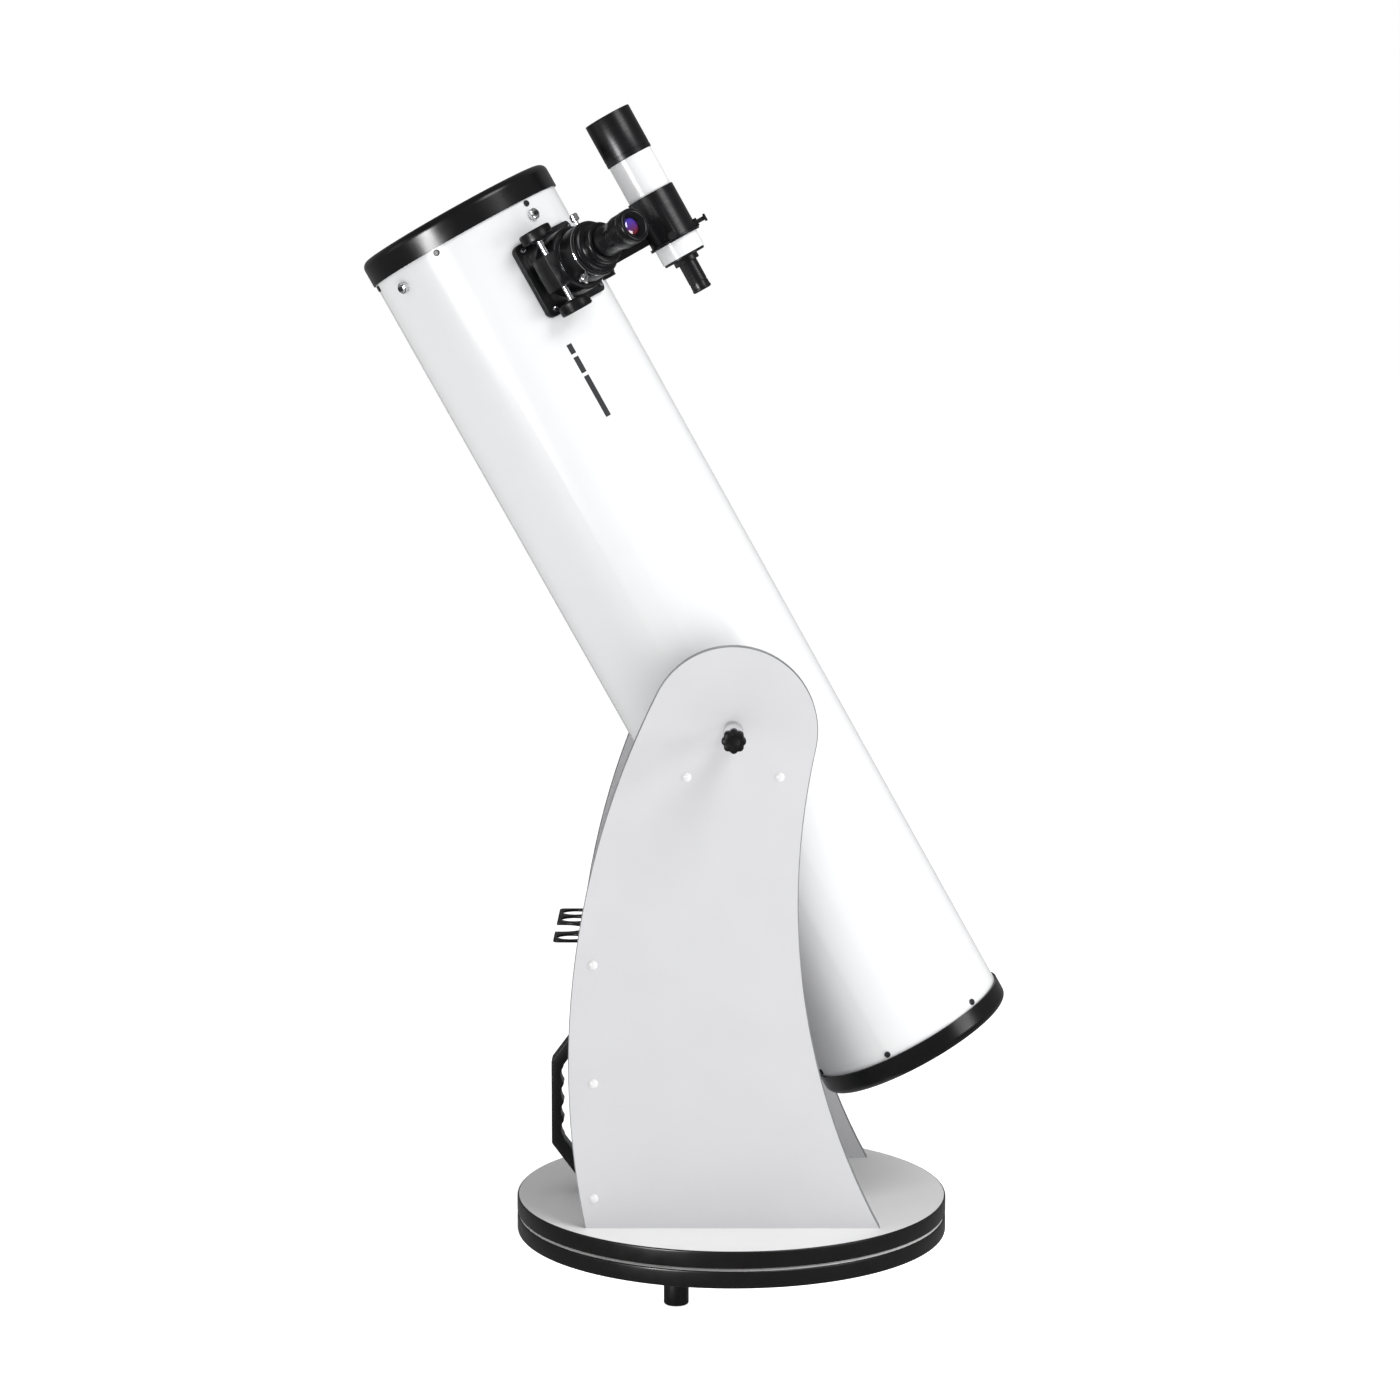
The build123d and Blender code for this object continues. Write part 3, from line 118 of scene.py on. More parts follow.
def noise(material, coords, scale, detail=3.0, stretch=None):
    """Noise whose scale is in cells per metre."""
    if stretch is not None:
        mapping = add_node(material, "ShaderNodeMapping")
        mapping.inputs["Scale"].default_value = stretch
        link(material, coords, mapping.inputs["Vector"])
        coords = mapping.outputs["Vector"]
    texture = add_node(material, "ShaderNodeTexNoise")
    texture.inputs["Scale"].default_value = scale
    texture.inputs["Detail"].default_value = detail
    link(material, coords, texture.inputs["Vector"])
    return texture.outputs["Fac"]


def spread(material, value, low, high, start=0.3, end=0.7):
    """Maps a pattern to a range of plain values."""
    mapped = add_node(material, "ShaderNodeMapRange")
    mapped.inputs["From Min"].default_value = start
    mapped.inputs["From Max"].default_value = end
    mapped.inputs["To Min"].default_value = low
    mapped.inputs["To Max"].default_value = high
    link(material, value, mapped.inputs["Value"])
    return mapped.outputs["Result"]


def blend_colors(material, value, first, second):
    """Colour that goes from one to another with a pattern."""
    ramp = add_node(material, "ShaderNodeMix", data_type="RGBA")
    link(material, value, ramp.inputs["Factor"])
    ramp.inputs["A"].default_value = (*first, 1)
    ramp.inputs["B"].default_value = (*second, 1)
    return ramp.outputs["Result"]


def set_input(material, name, value):
    """Feeds a pattern into a named input of the shader."""
    link(material, value, material.node_tree.nodes["Principled BSDF"].inputs[name])


def emboss(material, height, distance, strength):
    """Raises the surface by a pattern; the distance is in metres."""
    bump = add_node(material, "ShaderNodeBump")
    bump.inputs["Strength"].default_value = strength
    bump.inputs["Distance"].default_value = distance
    link(material, height, bump.inputs["Height"])
    set_input(material, "Normal", bump.outputs["Normal"])


def worn_roughness(material, coords, low, high, scale=60.0):
    """Roughness that varies in soft patches, as handled surfaces do."""
    set_input(material, "Roughness", spread(material, noise(material, coords, scale, 5.0), low, high))


# ---- Finishes ----
def white_enamel(name, place, inner_radius=None):
    """Glossy white paint; the inside of the tube is flat black."""
    white = (0.80, 0.805, 0.81)
    aged_white = (0.785, 0.79, 0.80)
    flat_black = (0.012, 0.012, 0.013)
    gloss, matt = 0.2, 0.75
    paint_edge = 0.2 * mm
    material = new_material(name, white, gloss, specular=0.25, coat=0.06)
    coords = object_coords(material, place)
    tone = spread(material, noise(material, coords, 9.0, 2.0), 0.0, 1.0)
    color = blend_colors(material, tone, white, aged_white)
    if inner_radius is not None:
        flat = add_node(material, "ShaderNodeVectorMath", operation="MULTIPLY")
        flat.inputs[1].default_value = (1, 1, 0)
        link(material, coords, flat.inputs[0])
        length = add_node(material, "ShaderNodeVectorMath", operation="LENGTH")
        link(material, flat.outputs["Vector"], length.inputs[0])
        outer_radius = inner_radius + paint_edge
        edge = spread(material, length.outputs["Value"], 0.0, 1.0, inner_radius, outer_radius)
        mix = add_node(material, "ShaderNodeMix", data_type="RGBA")
        link(material, edge, mix.inputs["Factor"])
        mix.inputs["A"].default_value = (*flat_black, 1)
        link(material, color, mix.inputs["B"])
        color = mix.outputs["Result"]
        set_input(material, "Roughness", spread(material, edge, matt, gloss, 0.0, 1.0))
    set_input(material, "Base Color", color)
    emboss(material, noise(material, coords, 700.0, 2.0), 0.02 * mm, 0.3)
    return material


def laminate(name, color):
    """White melamine board with a fine pebbled skin."""
    material = new_material(name, color, 0.42, specular=0.4)
    coords = object_coords(material)
    shade = tuple(c * 0.975 for c in color)
    tone = spread(material, noise(material, coords, 14.0, 4.0), 0.0, 1.0)
    set_input(material, "Base Color", blend_colors(material, tone, color, shade))
    worn_roughness(material, coords, 0.36, 0.48, 35.0)
    emboss(material, noise(material, coords, 1500.0, 2.0), 0.03 * mm, 0.4)
    return material


def moulded(name, color, roughness, grain=900.0, depth=0.05, specular=0.3):
    """Moulded plastic with a fine leather-like grain."""
    material = new_material(name, color, roughness, specular=specular)
    coords = object_coords(material)
    cells = add_node(material, "ShaderNodeTexVoronoi", feature="SMOOTH_F1")
    cells.inputs["Scale"].default_value = grain
    link(material, coords, cells.inputs["Vector"])
    emboss(material, cells.outputs["Distance"], depth * mm, 0.35)
    worn_roughness(material, coords, roughness * 0.88, roughness * 1.12)
    tone = spread(material, noise(material, coords, 40.0, 4.0), 0.0, 1.0)
    shade = tuple(c * (1.35 if c < 0.5 else 0.96) for c in color)
    set_input(material, "Base Color", blend_colors(material, tone, color, shade))
    return material


def metal(name, color, roughness, grain=0.0):
    """Polished or plated metal with faint handling marks."""
    material = new_material(name, color, roughness, metallic=1.0)
    coords = object_coords(material)
    marks = noise(material, coords, 220.0, 6.0)
    set_input(material, "Roughness", spread(material, marks, roughness * 0.8, roughness * 1.35))
    if grain:
        emboss(material, marks, grain * mm, 0.3)
    return material


def anodised(name, color, roughness, place):
    """Black anodised aluminium with faint turning lines round the piece's axis."""
    material = new_material(name, color, roughness, metallic=0.35, specular=0.35)
    coords = object_coords(material, place)
    lines = noise(material, coords, 160.0, 4.0, (0.6, 0.6, 14.0))
    set_input(material, "Roughness", spread(material, lines, roughness * 0.8, roughness * 1.25))
    tone = spread(material, noise(material, coords, 55.0, 3.0), 0.0, 1.0)
    shade = tuple(c * 1.5 for c in color)
    set_input(material, "Base Color", blend_colors(material, tone, color, shade))
    emboss(material, lines, 0.015 * mm, 0.25)
    return material


def painted_reflection_glass(name, low, high, place, radius):
    """Lens glass whose colour fades from one tint to another across its face: a painted reflection,
    standing in for the coloured glints of its coatings.
    """
    material = new_material(name, low, 0.04, specular=0.8, coat=1.0)
    coords = object_coords(material, place)
    parts = add_node(material, "ShaderNodeSeparateXYZ")
    link(material, coords, parts.inputs["Vector"])
    fade = spread(material, parts.outputs["X"], 0.0, 1.0, -radius, radius)
    set_input(material, "Base Color", blend_colors(material, fade, low, high))
    return material


def mirror_coat(name):
    """Aluminised mirror with a trace of dust."""
    material = new_material(name, (0.92, 0.93, 0.94), 0.03, metallic=1.0)
    coords = object_coords(material)
    dust = noise(material, coords, 900.0, 8.0)
    set_input(material, "Roughness", spread(material, dust, 0.02, 0.12, 0.55, 0.8))
    return material


def paint(material, *nodes):
    """Gives CAD nodes a material in place of their own."""
    for name in nodes:
        mesh = frame["nodes"][name].data
        mesh.materials.clear()
        mesh.materials.append(material)


# ---- Places of the pieces ----
def middle_in(node, place):
    """Middle of a node's box measured in a frame."""
    points = points_in(node, place)
    return [(min(p[i] for p in points) + max(p[i] for p in points)) / 2 for i in range(3)]


def wall_frame(along, clock):
    """Frame on the tube's axis whose Z points out at a clock angle, with X along the tube."""
    out = tube_frame.to_3x3() @ Vector((cos(radians(clock)), sin(radians(clock)), 0))
    return frame_from(altitude + tube_axis * along, tube_axis, out)


focuser_clock = degrees(atan2(eye_axis.y, eye_axis.dot(finder_side)))
focuser_s = middle_in("drawtube", tube_frame)[2]
focuser_frame = wall_frame(focuser_s, focuser_clock)
finder_lift = middle_in("finder_tube", tube_frame)[0]
finder_frame = frame_from(altitude + finder_side * finder_lift, finder_side, tube_axis)
shaft_frame = frame_from(Vector(joints["focus_turn"]["pos_m"]), eye_axis, tube_axis)
tube_low, tube_high, tube_r = reach("main_tube", tube_frame)


# ---- Modelling by hand ----
def deselect():
    """Leaves nothing selected."""
    bpy.ops.object.select_all(action="DESELECT")


def pick(piece):
    """Makes a piece the only one selected."""
    deselect()
    piece.select_set(True)
    bpy.context.view_layer.objects.active = piece


def edit(piece, test=None, kind="FACE"):
    """Enters edit mode with all of a piece selected, or only the faces or corners that pass a test."""
    pick(piece)
    mesh = piece.data
    bpy.context.tool_settings.mesh_select_mode = (kind == "VERT", False, kind == "FACE")
    mesh.vertices.foreach_set("select", [False] * len(mesh.vertices))
    mesh.edges.foreach_set("select", [False] * len(mesh.edges))
    mesh.polygons.foreach_set("select", [False] * len(mesh.polygons))
    if test is not None:
        chosen = mesh.polygons if kind == "FACE" else mesh.vertices
        chosen.foreach_set("select", [test(item) for item in chosen])
    bpy.ops.object.mode_set(mode="EDIT")
    if test is None:
        bpy.ops.mesh.select_all(action="SELECT")


def done():
    """Leaves edit mode."""
    bpy.ops.object.mode_set(mode="OBJECT")


def close_up(piece):
    """Merges doubled corners and turns the faces outwards."""
    edit(piece)
    bpy.ops.mesh.remove_doubles(threshold=merge_gap)
    bpy.ops.mesh.normals_make_consistent(inside=False)
    done()


def turned(name, profile, steps=96, turn=360.0, start=0.0):
    """Shape spun about Z from (radius, height) corners in millimetres."""
    deselect()
    bpy.ops.mesh.primitive_plane_add(size=mm, location=(0, 0, 0))
    piece = bpy.context.object
    piece.name = name
    edit(piece, kind="VERT")
    bpy.ops.mesh.merge(type="CENTER")
    first = radians(start)
    corners = [Vector((r * cos(first), r * sin(first), z)) * mm for r, z in profile]
    bpy.ops.transform.translate(value=corners[0])
    on_axis = profile[0][0] == 0 and profile[-1][0] == 0
    route = corners if on_axis else corners + corners[:1]
    for here, there in zip(route, route[1:]):
        bpy.ops.mesh.extrude_vertices_move(TRANSFORM_OT_translate={"value": there - here})
    bpy.ops.mesh.select_all(action="SELECT")
    bpy.ops.mesh.remove_doubles(threshold=merge_gap)
    if turn < 360:
        bpy.ops.mesh.edge_face_add()
    bpy.ops.mesh.spin(steps=steps, angle=radians(turn), center=(0, 0, 0), axis=(0, 0, 1))
    done()
    close_up(piece)
    return piece


def ease(piece, width, segments=2, angle=34.0):
    """Rounds the sharp edges of a piece by a width in millimetres."""
    pick(piece)
    modifier = piece.modifiers.new("ease", "BEVEL")
    modifier.width = width * mm
    modifier.segments = segments
    modifier.limit_method = "ANGLE"
    modifier.angle_limit = radians(angle)
    modifier.use_clamp_overlap = False
    bpy.ops.object.modifier_apply(modifier=modifier.name)


def knurl(piece, low, high, radius, depth, count):
    """Sinks every second face of a round band between two heights, so the band gets a grip."""
    ridge_edge = 0.08 * mm
    wall_share = 0.97

    def in_band(face):
        middle = face.center
        if not low * mm < middle.z < high * mm or middle.xy.length < radius * wall_share * mm:
            return False
        return int((atan2(middle.y, middle.x) + 2 * pi) / (2 * pi) * 2 * count) % 2 == 0

    edit(piece, in_band)
    bpy.ops.mesh.inset(thickness=ridge_edge, depth=-depth * mm, use_individual=True)
    done()


def lobes(piece, count, depth, radius, reach_in):
    """Draws the wall of a round piece inwards between evenly spaced lobes, in steps."""
    levels = 8
    for level in range(1, levels + 1):
        share = level / levels

        def in_valley(corner, share=share):
            out = corner.co.xy.length
            if out < reach_in * mm:
                return False
            angle = (atan2(corner.co.y, corner.co.x) / (2 * pi) * count) % 1.0
            dip = 1 - abs(cos(pi * angle))
            return abs(dip - share) <= 0.5 / levels

        edit(piece, in_valley, "VERT")
        factor = 1 - depth * share / radius
        bpy.ops.transform.resize(value=(factor, factor, 1), center_override=(0, 0, 0))
        done()


def set_in(piece, place):
    """Carries a piece that was modelled about the origin to its place, in its mesh."""
    pick(piece)
    piece.matrix_world = place
    bpy.ops.object.transform_apply(location=True, rotation=True, scale=True)


def finished(piece, material, body, slot, *nodes, smooth=36.0):
    """Gives a piece its finish and its body, and hides the CAD nodes it stands for; the slot is not
    used.
    """
    pick(piece)
    piece.data.materials.clear()
    piece.data.materials.append(material)
    bpy.ops.object.shade_smooth_by_angle(angle=radians(smooth))
    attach(piece, body)
    if nodes:
        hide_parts(*nodes)
    return piece


def copy_of(piece, name):
    """Another piece of the same shape with its own mesh."""
    twin = bpy.data.objects.new(name, piece.data.copy())
    bpy.context.scene.collection.objects.link(twin)
    return twin


def joined(name, pieces):
    """One piece from several."""
    pick(pieces[0])
    for piece in pieces[1:]:
        piece.select_set(True)
    bpy.ops.object.join()
    pieces[0].name = name
    return pieces[0]


def softened(node, width, material, body, slot, segments=2):
    """A merged copy of a CAD node with its sharp edges rounded, which stands for it."""
    flat_angle = 0.6
    piece = bpy.data.objects.new(f"{node}_eased", frame["nodes"][node].data.copy())
    bpy.context.scene.collection.objects.link(piece)
    pick(piece)
    bpy.ops.mesh.customdata_custom_splitnormals_clear()
    edit(piece)
    bpy.ops.mesh.remove_doubles(threshold=merge_gap)
    bpy.ops.mesh.dissolve_limited(angle_limit=radians(flat_angle))
    done()
    ease(piece, width, segments)
    return finished(piece, material, body, slot, node)


# ---- Materials of this telescope ----
enamel_depth = 0.5
tube_paint = white_enamel("tube_enamel", tube_frame, (tube_r - enamel_depth) * mm)
finder_paint = white_enamel("finder_enamel", finder_frame)
# The side panels and front board get a grey copy of the white laminate: painted shade on the upright
# boards. The top and ground boards take the bright copy.
panel_shaded_laminate = laminate("panel_painted_shade_laminate", (0.61, 0.61, 0.625))
top_laminate = laminate("bright_laminate", (0.94, 0.94, 0.94))
pale_edge = moulded("pale_edge_band", (0.20, 0.20, 0.205), 0.45, 1200.0, 0.02)
black_edge = moulded("black_edge_band", (0.006, 0.0055, 0.0055), 0.3, 1400.0, 0.03, 0.3)
black_moulding = moulded("black_moulding", (0.004, 0.004, 0.0045), 0.4, 1100.0, 0.03, 0.18)
ring_paint = moulded("ring_paint", (0.004, 0.004, 0.0045), 0.24, 2200.0, 0.006, 0.3)
rubber = moulded("black_rubber", (0.008, 0.008, 0.008), 0.7, 2500.0, 0.03, 0.15)
nylon = moulded("white_nylon", (0.76, 0.76, 0.76), 0.34, 1200.0, 0.01, 0.4)
print_ink = moulded("grey_print", (0.02, 0.021, 0.023), 0.4, 1500.0, 0.004, 0.3)
chrome = metal("chrome", (0.80, 0.80, 0.82), 0.10)
zinc = metal("zinc_steel", (0.50, 0.50, 0.51), 0.30, 0.01)
black_zinc = moulded("blackened_steel", (0.012, 0.012, 0.013), 0.34, 1800.0, 0.01, 0.3)
spring_steel = metal("spring_steel", (0.42, 0.42, 0.43), 0.3)
focuser_black = anodised("focuser_anodising", (0.008, 0.008, 0.009), 0.34, focuser_frame)
eyepiece_black = anodised("eyepiece_lacquer", (0.006, 0.006, 0.007), 0.26, focuser_frame)
finder_black = anodised("finder_lacquer", (0.007, 0.007, 0.008), 0.3, finder_frame)
tube_black = anodised("cast_black", (0.015, 0.015, 0.016), 0.5, tube_frame)
mirror = mirror_coat("mirror_coat")

paint(tube_paint, "main_tube")
paint(finder_paint, "finder_tube")
paint(top_laminate, "ground_board", "top_board")
# Painted shade: the upright boards take the grey copy of the laminate.
paint(panel_shaded_laminate, "side_panel_near", "side_panel_far", "front_board")
paint(pale_edge, "panel_edging")
paint(black_edge, "front_board_edging")
paint(ring_paint, "top_ring", "bottom_ring")
paint(rubber, "mirror_clips")
paint(nylon, "azimuth_pads", "pivot_bush", "screw_caps", "cradle_pads")
paint(chrome, "drawtube", "focus_shaft", "finder_plunger")
paint(zinc, "foot_screws", "pivot_bolt", "pivot_nut", "furniture_screws", "secondary_screws")
paint(black_zinc, "tube_screws", "pan_screws", "lock_screws")
paint(spring_steel, "collimation_springs")
paint(tube_black, "spider", "secondary_holder", "mirror_cell", "cell_plate")
paint(mirror, "secondary_mirror", "primary_mirror")

# ---- Boards, handle and rack ----
band_t = 2
band_inset = 0.05
for node, body in (("ground_board_edging", "ground"), ("top_board_edging", "rocker")):
    low, high, outer = reach(node, Matrix())
    outer -= band_inset
    band = turned(
        f"{node}_moulding",
        [
            (outer - band_t, low),
            (outer - 1.1, low),
            (outer - 0.3, low + 0.9),
            (outer, low + 2.4),
            (outer, high - 2.4),
            (outer - 0.3, high - 0.9),
            (outer - 1.1, high),
            (outer - band_t, high),
        ],
        steps=192,
    )
    ease(band, 0.3, 2, 20)
    finished(band, black_edge, body, "black_edge", node)

softened("feet", 0.7, black_moulding, "ground", "black_plastic")
softened("carry_handle", 1.3, black_moulding, "rocker", "black_plastic", 3)
softened("eyepiece_rack", 0.7, black_moulding, "rocker", "black_plastic")
softened("altitude_bearings", 0.7, black_moulding, "tube", "black_plastic")
softened("finder_shoe", 0.5, finder_black, "tube", "cast_aluminium")
softened("finder_bracket", 0.45, finder_black, "finder", "cast_aluminium")
softened("focuser_base", 0.5, focuser_black, "tube", "cast_aluminium")

# ---- Tension knobs on the altitude axis ----
handle_reach = 90
grip_l = 17
for side in ("near", "far"):
    joint = joints[f"tension_turn_{side}"]
    out = Vector(joint["axis"])
    place = frame_from(altitude, Vector((1, 0, 0)), out)
    low, high, knob_r = reach(f"tension_knob_{side}", place)
    grip_low = high - grip_l
    grip = turned(
        f"tension_grip_{side}",
        [
            (0, grip_low),
            (knob_r - 2.2, grip_low),
            (knob_r, grip_low + 2),
            (knob_r, high - 3.2),
            (knob_r - 0.8, high - 1.4),
            (knob_r - 2.6, high - 0.4),
            (6.4, high),
            (6.0, high - 0.9),
            (0, high - 0.9),
        ],
        steps=128,
    )
    lobes(grip, 8, 1.9, knob_r, 8.0)
    ease(grip, 0.35, 2, 30)
    set_in(grip, place)
    finished(grip, black_moulding, f"tension_{side}", "black_plastic", f"tension_knob_{side}")
    panel_s = high - handle_reach
    stud = turned(
        f"tension_stud_{side}",
        [
            (0, low),
            (4, low + 1),
            (4, panel_s + 0.4),
            (11.5, panel_s + 0.4),
            (11.5, panel_s + 4.0),
            (10.9, panel_s + 4.5),
            (10.9, panel_s + 5.5),
            (11.5, panel_s + 6.0),
            (11.5, grip_low - 2.5),
            (9.8, grip_low - 0.1),
            (9.8, grip_low + 0.1),
            (0, grip_low + 0.1),
        ],
        steps=64,
    )
    ease(stud, 0.3)
    set_in(stud, place)
    finished(stud, chrome, f"tension_{side}", "bright_chrome", f"tension_knob_{side}")

# ---- Screws and nuts on the tube ----
nut_s = middle_in("spider_nuts", tube_frame)[2]
nut_r = 6.5
nut_bore_r = 2.6
nut = turned(
    "nut",
    [
        (nut_bore_r, tube_r + 0.06),
        (nut_r, tube_r + 0.06),
        (nut_r, tube_r + 4.6),
        (nut_r - 0.6, tube_r + 5.2),
        (5.0, tube_r + 5.4),
        (4.6, tube_r + 6.9),
        (3.6, tube_r + 7.0),
        (nut_bore_r, tube_r + 7.0),
    ],
    steps=72,
)
knurl(nut, tube_r + 0.5, tube_r + 4.4, nut_r, 0.35, 36)
nuts = []
for quarter in range(4):
    twin = copy_of(nut, f"nut_{quarter}")
    set_in(twin, wall_frame(nut_s, focuser_clock + 90 * quarter))
    nuts.append(twin)
bpy.data.objects.remove(nut)
finished(joined("vane_nuts", nuts), chrome, "tube", "bright_chrome", "spider_nuts")

screw = turned(
    "screw_head",
    [
        (0, 0.02),
        (3.6, 0.02),
        (3.6, 0.7),
        (3.3, 1.5),
        (2.5, 2.1),
        (1.5, 2.2),
        (1.3, 0.9),
        (0, 0.8),
    ],
    steps=36,
)
ring_screws = 6
ring_inset = 5
on_wall = Matrix.Translation((0, 0, tube_r * mm))
heads = []
for number in range(2 * ring_screws):
    s = tube_high - ring_inset if number < ring_screws else tube_low + ring_inset
    head = copy_of(screw, f"head_{number}")
    clock = focuser_clock + 360 / ring_screws * (number % ring_screws)
    set_in(head, wall_frame(s * mm, clock) @ on_wall)
    heads.append(head)
finished(joined("ring_screw_heads", heads), black_zinc, "tube", "steel")

saddle = points_in("focuser_base", focuser_frame)
saddle_t = 6
saddle_inset = 8
saddle_x = max(p.x for p in saddle) / mm - saddle_inset
saddle_y = max(abs(p.y) for p in saddle) / mm - saddle_inset
saddle_turn = degrees(saddle_y / (tube_r + saddle_t))
on_saddle = Matrix.Translation((0, 0, (tube_r + saddle_t + 0.2) * mm))
corner_heads = []
for number, (x, turn) in enumerate(((1, 1), (1, -1), (-1, 1), (-1, -1))):
    head = copy_of(screw, f"corner_head_{number}")
    corner = wall_frame(focuser_s + x * saddle_x * mm, focuser_clock + turn * saddle_turn)
    set_in(head, corner @ on_saddle)
    corner_heads.append(head)
bpy.data.objects.remove(screw)
finished(joined("saddle_screw_heads", corner_heads), chrome, "tube", "steel")

# ---- Focuser ----
knob_places = (shaft_frame, shaft_frame @ Matrix.Rotation(pi, 4, "X"))
_, knob_high, knob_r = reach("focus_knobs", shaft_frame)
knob_l = 14
knob_low = knob_high - knob_l
shaft_r = 3.5
knobs = []
for place in knob_places:
    knob = turned(
        "focus_knob",
        [
            (shaft_r + 0.06, knob_low),
            (9.0, knob_low),
            (9.6, knob_low + 1.4),
            (knob_r - 1.2, knob_low + 1.4),
            (knob_r - 0.4, knob_low + 2.2),
            (knob_r, knob_low + 2.6),
            (knob_r, knob_high - 1.6),
            (knob_r - 0.5, knob_high - 0.9),
            (knob_r - 1.6, knob_high),
            (13.0, knob_high),
            (12.4, knob_high - 0.8),
            (5.6, knob_high - 0.8),
            (5.2, knob_high - 0.3),
            (shaft_r + 0.06, knob_high - 0.3),
        ],
        steps=144,
    )
    knurl(knob, knob_low + 2.7, knob_high - 1.7, knob_r, 0.55, 72)
    set_in(knob, place)
    knobs.append(knob)
finished(joined("focus_grips", knobs), focuser_black, "focus_drive", "cast_aluminium", "focus_knobs")

caps = []
for place in knob_places:
    cap = turned(
        "shaft_end",
        [
            (0, knob_high - 2),
            (shaft_r, knob_high - 2),
            (shaft_r, knob_high - 0.4),
            (shaft_r - 0.6, knob_high - 0.1),
            (0, knob_high - 0.1),
        ],
        steps=48,
    )
    set_in(cap, place)
    caps.append(cap)
finished(joined("shaft_ends", caps), chrome, "focus_drive", "bright_chrome")

collar_low, collar_high, collar_r = reach("drawtube_collar", focuser_frame)
collar_bore_r = 25.5
socket_r = 29.06
collar = turned(
    "clamp_collar",
    [
        (collar_bore_r, collar_low + 15.9),
        (socket_r, collar_low + 13.2),
        (socket_r, collar_low),
        (collar_r - 1.0, collar_low),
        (collar_r, collar_low + 1.0),
        (collar_r, collar_high - 4.6),
        (collar_r - 1.5, collar_high - 4.5),
        (collar_r - 1.5, collar_high - 3.0),
        (collar_r, collar_high - 2.9),
        (collar_r, collar_high - 1.0),
        (collar_r - 1.0, collar_high),
        (collar_bore_r, collar_high),
    ],
    steps=128,
)
ease(collar, 0.3)
set_in(collar, focuser_frame)
finished(collar, focuser_black, "drawtube", "cast_aluminium", "drawtube_collar")
trim = turned(
    "collar_trim",
    [
        (collar_r - 1.52, collar_high - 4.45),
        (collar_r, collar_high - 4.45),
        (collar_r + 0.35, collar_high - 3.75),
        (collar_r, collar_high - 3.05),
        (collar_r - 1.52, collar_high - 3.05),
    ],
    steps=128,
)
set_in(trim, focuser_frame)
finished(trim, chrome, "drawtube", "bright_chrome")

for name in ("up", "side"):
    node = f"collar_screw_{name}"
    joint = joints[f"clamp_turn_{name}"]
    place = frame_from(Vector(joint["pos_m"]), eye_axis, Vector(joint["axis"]))
    low, high, head_r = reach(node, place)
    screw = turned(
        f"collar_thumbscrew_{name}",
        [
            (0, low),
            (1.4, low),
            (2.0, low + 0.7),
            (2.0, high - 9.4),
            (3.4, high - 9.2),
            (3.4, high - 8.4),
            (head_r - 0.5, high - 8.4),
            (head_r, high - 7.8),
            (head_r, high - 1.4),
            (head_r - 0.7, high - 0.5),
            (3.0, high),
            (0, high),
        ],
        steps=64,
    )
    knurl(screw, high - 7.7, high - 1.5, head_r, 0.35, 32)
    set_in(screw, place)
    finished(screw, chrome, f"clamp_{name}", "bright_chrome", node)

# ---- Adapter and eyepiece ----
low, high, flange_r = reach("eyepiece_adapter", focuser_frame)
adapter_bore_r = 15.98
adapter = turned(
    "step_down_adapter",
    [
        (adapter_bore_r, low),
        (24.6, low),
        (25.4, low + 0.8),
        (25.4, low + 20.0),
        (flange_r - 0.8, low + 20.02),
        (flange_r, low + 20.8),
        (flange_r, low + 22.6),
        (flange_r - 0.9, low + 23.6),
        (27.0, low + 24.2),
        (25.2, low + 25.2),
        (24.2, low + 27.0),
        (24.0, low + 28.6),
        (23.4, low + 28.9),
        (23.4, low + 29.8),
        (24.0, low + 30.1),
        (24.0, high - 1.6),
        (23.2, high - 0.4),
        (21.8, high),
        (adapter_bore_r, high),
    ],
    steps=128,
)
ease(adapter, 0.25)
set_in(adapter, focuser_frame)
finished(adapter, eyepiece_black, "adapter", "cast_aluminium", "eyepiece_adapter")

low, high, _ = reach("eyepiece_body", focuser_frame)
barrel_r = 15.875
barrel_bore_r = 14.68
cup_seat = high - 12.4
body = turned(
    "eyepiece_barrel",
    [
        (barrel_bore_r, low),
        (15.6, low),
        (barrel_r, low + 0.5),
        (barrel_r, low + 28.0),
        (17.2, low + 28.02),
        (18.0, low + 28.8),
        (18.0, low + 32.6),
        (17.3, low + 34.2),
        (17.0, low + 36.0),
        (17.0, low + 47.0),
        (17.3, low + 49.6),
        (18.3, low + 53.6),
        (19.1, low + 57.2),
        (19.1, cup_seat),
        (7.5, cup_seat),
        (7.5, low + 33.0),
        (barrel_bore_r, low + 33.0),
    ],
    steps=112,
)
ease(body, 0.25)
set_in(body, focuser_frame)
finished(body, eyepiece_black, "eyepiece", "cast_aluminium", "eyepiece_body")
cup = turned(
    "eyecup",
    [
        (9.5, cup_seat + 0.01),
        (19.1, cup_seat + 0.01),
        (19.5, high - 11.6),
        (19.5, high - 2.4),
        (19.1, high - 1.2),
        (18.2, high - 0.3),
        (17.0, high),
        (15.4, high - 0.2),
        (14.2, high - 1.0),
        (13.2, high - 2.4),
        (10.4, high - 4.4),
        (9.9, high - 5.0),
        (9.5, high - 8.3),
    ],
    steps=112,
)
ease(cup, 0.25)
set_in(cup, focuser_frame)
finished(cup, eyepiece_black, "eyepiece", "cast_aluminium", "eyepiece_body")
lens_low, lens_high, lens_r = reach("eyepiece_lens", focuser_frame)
lens_r -= 0.03
# Painted reflection: the eye lens colour fades from crimson on one side to violet on the other.
crimson, violet = (0.11, 0.003, 0.012), (0.05, 0.025, 0.34)
eye_glass = painted_reflection_glass("eye_lens_painted_reflection", crimson, violet, focuser_frame, 6.5 * mm)
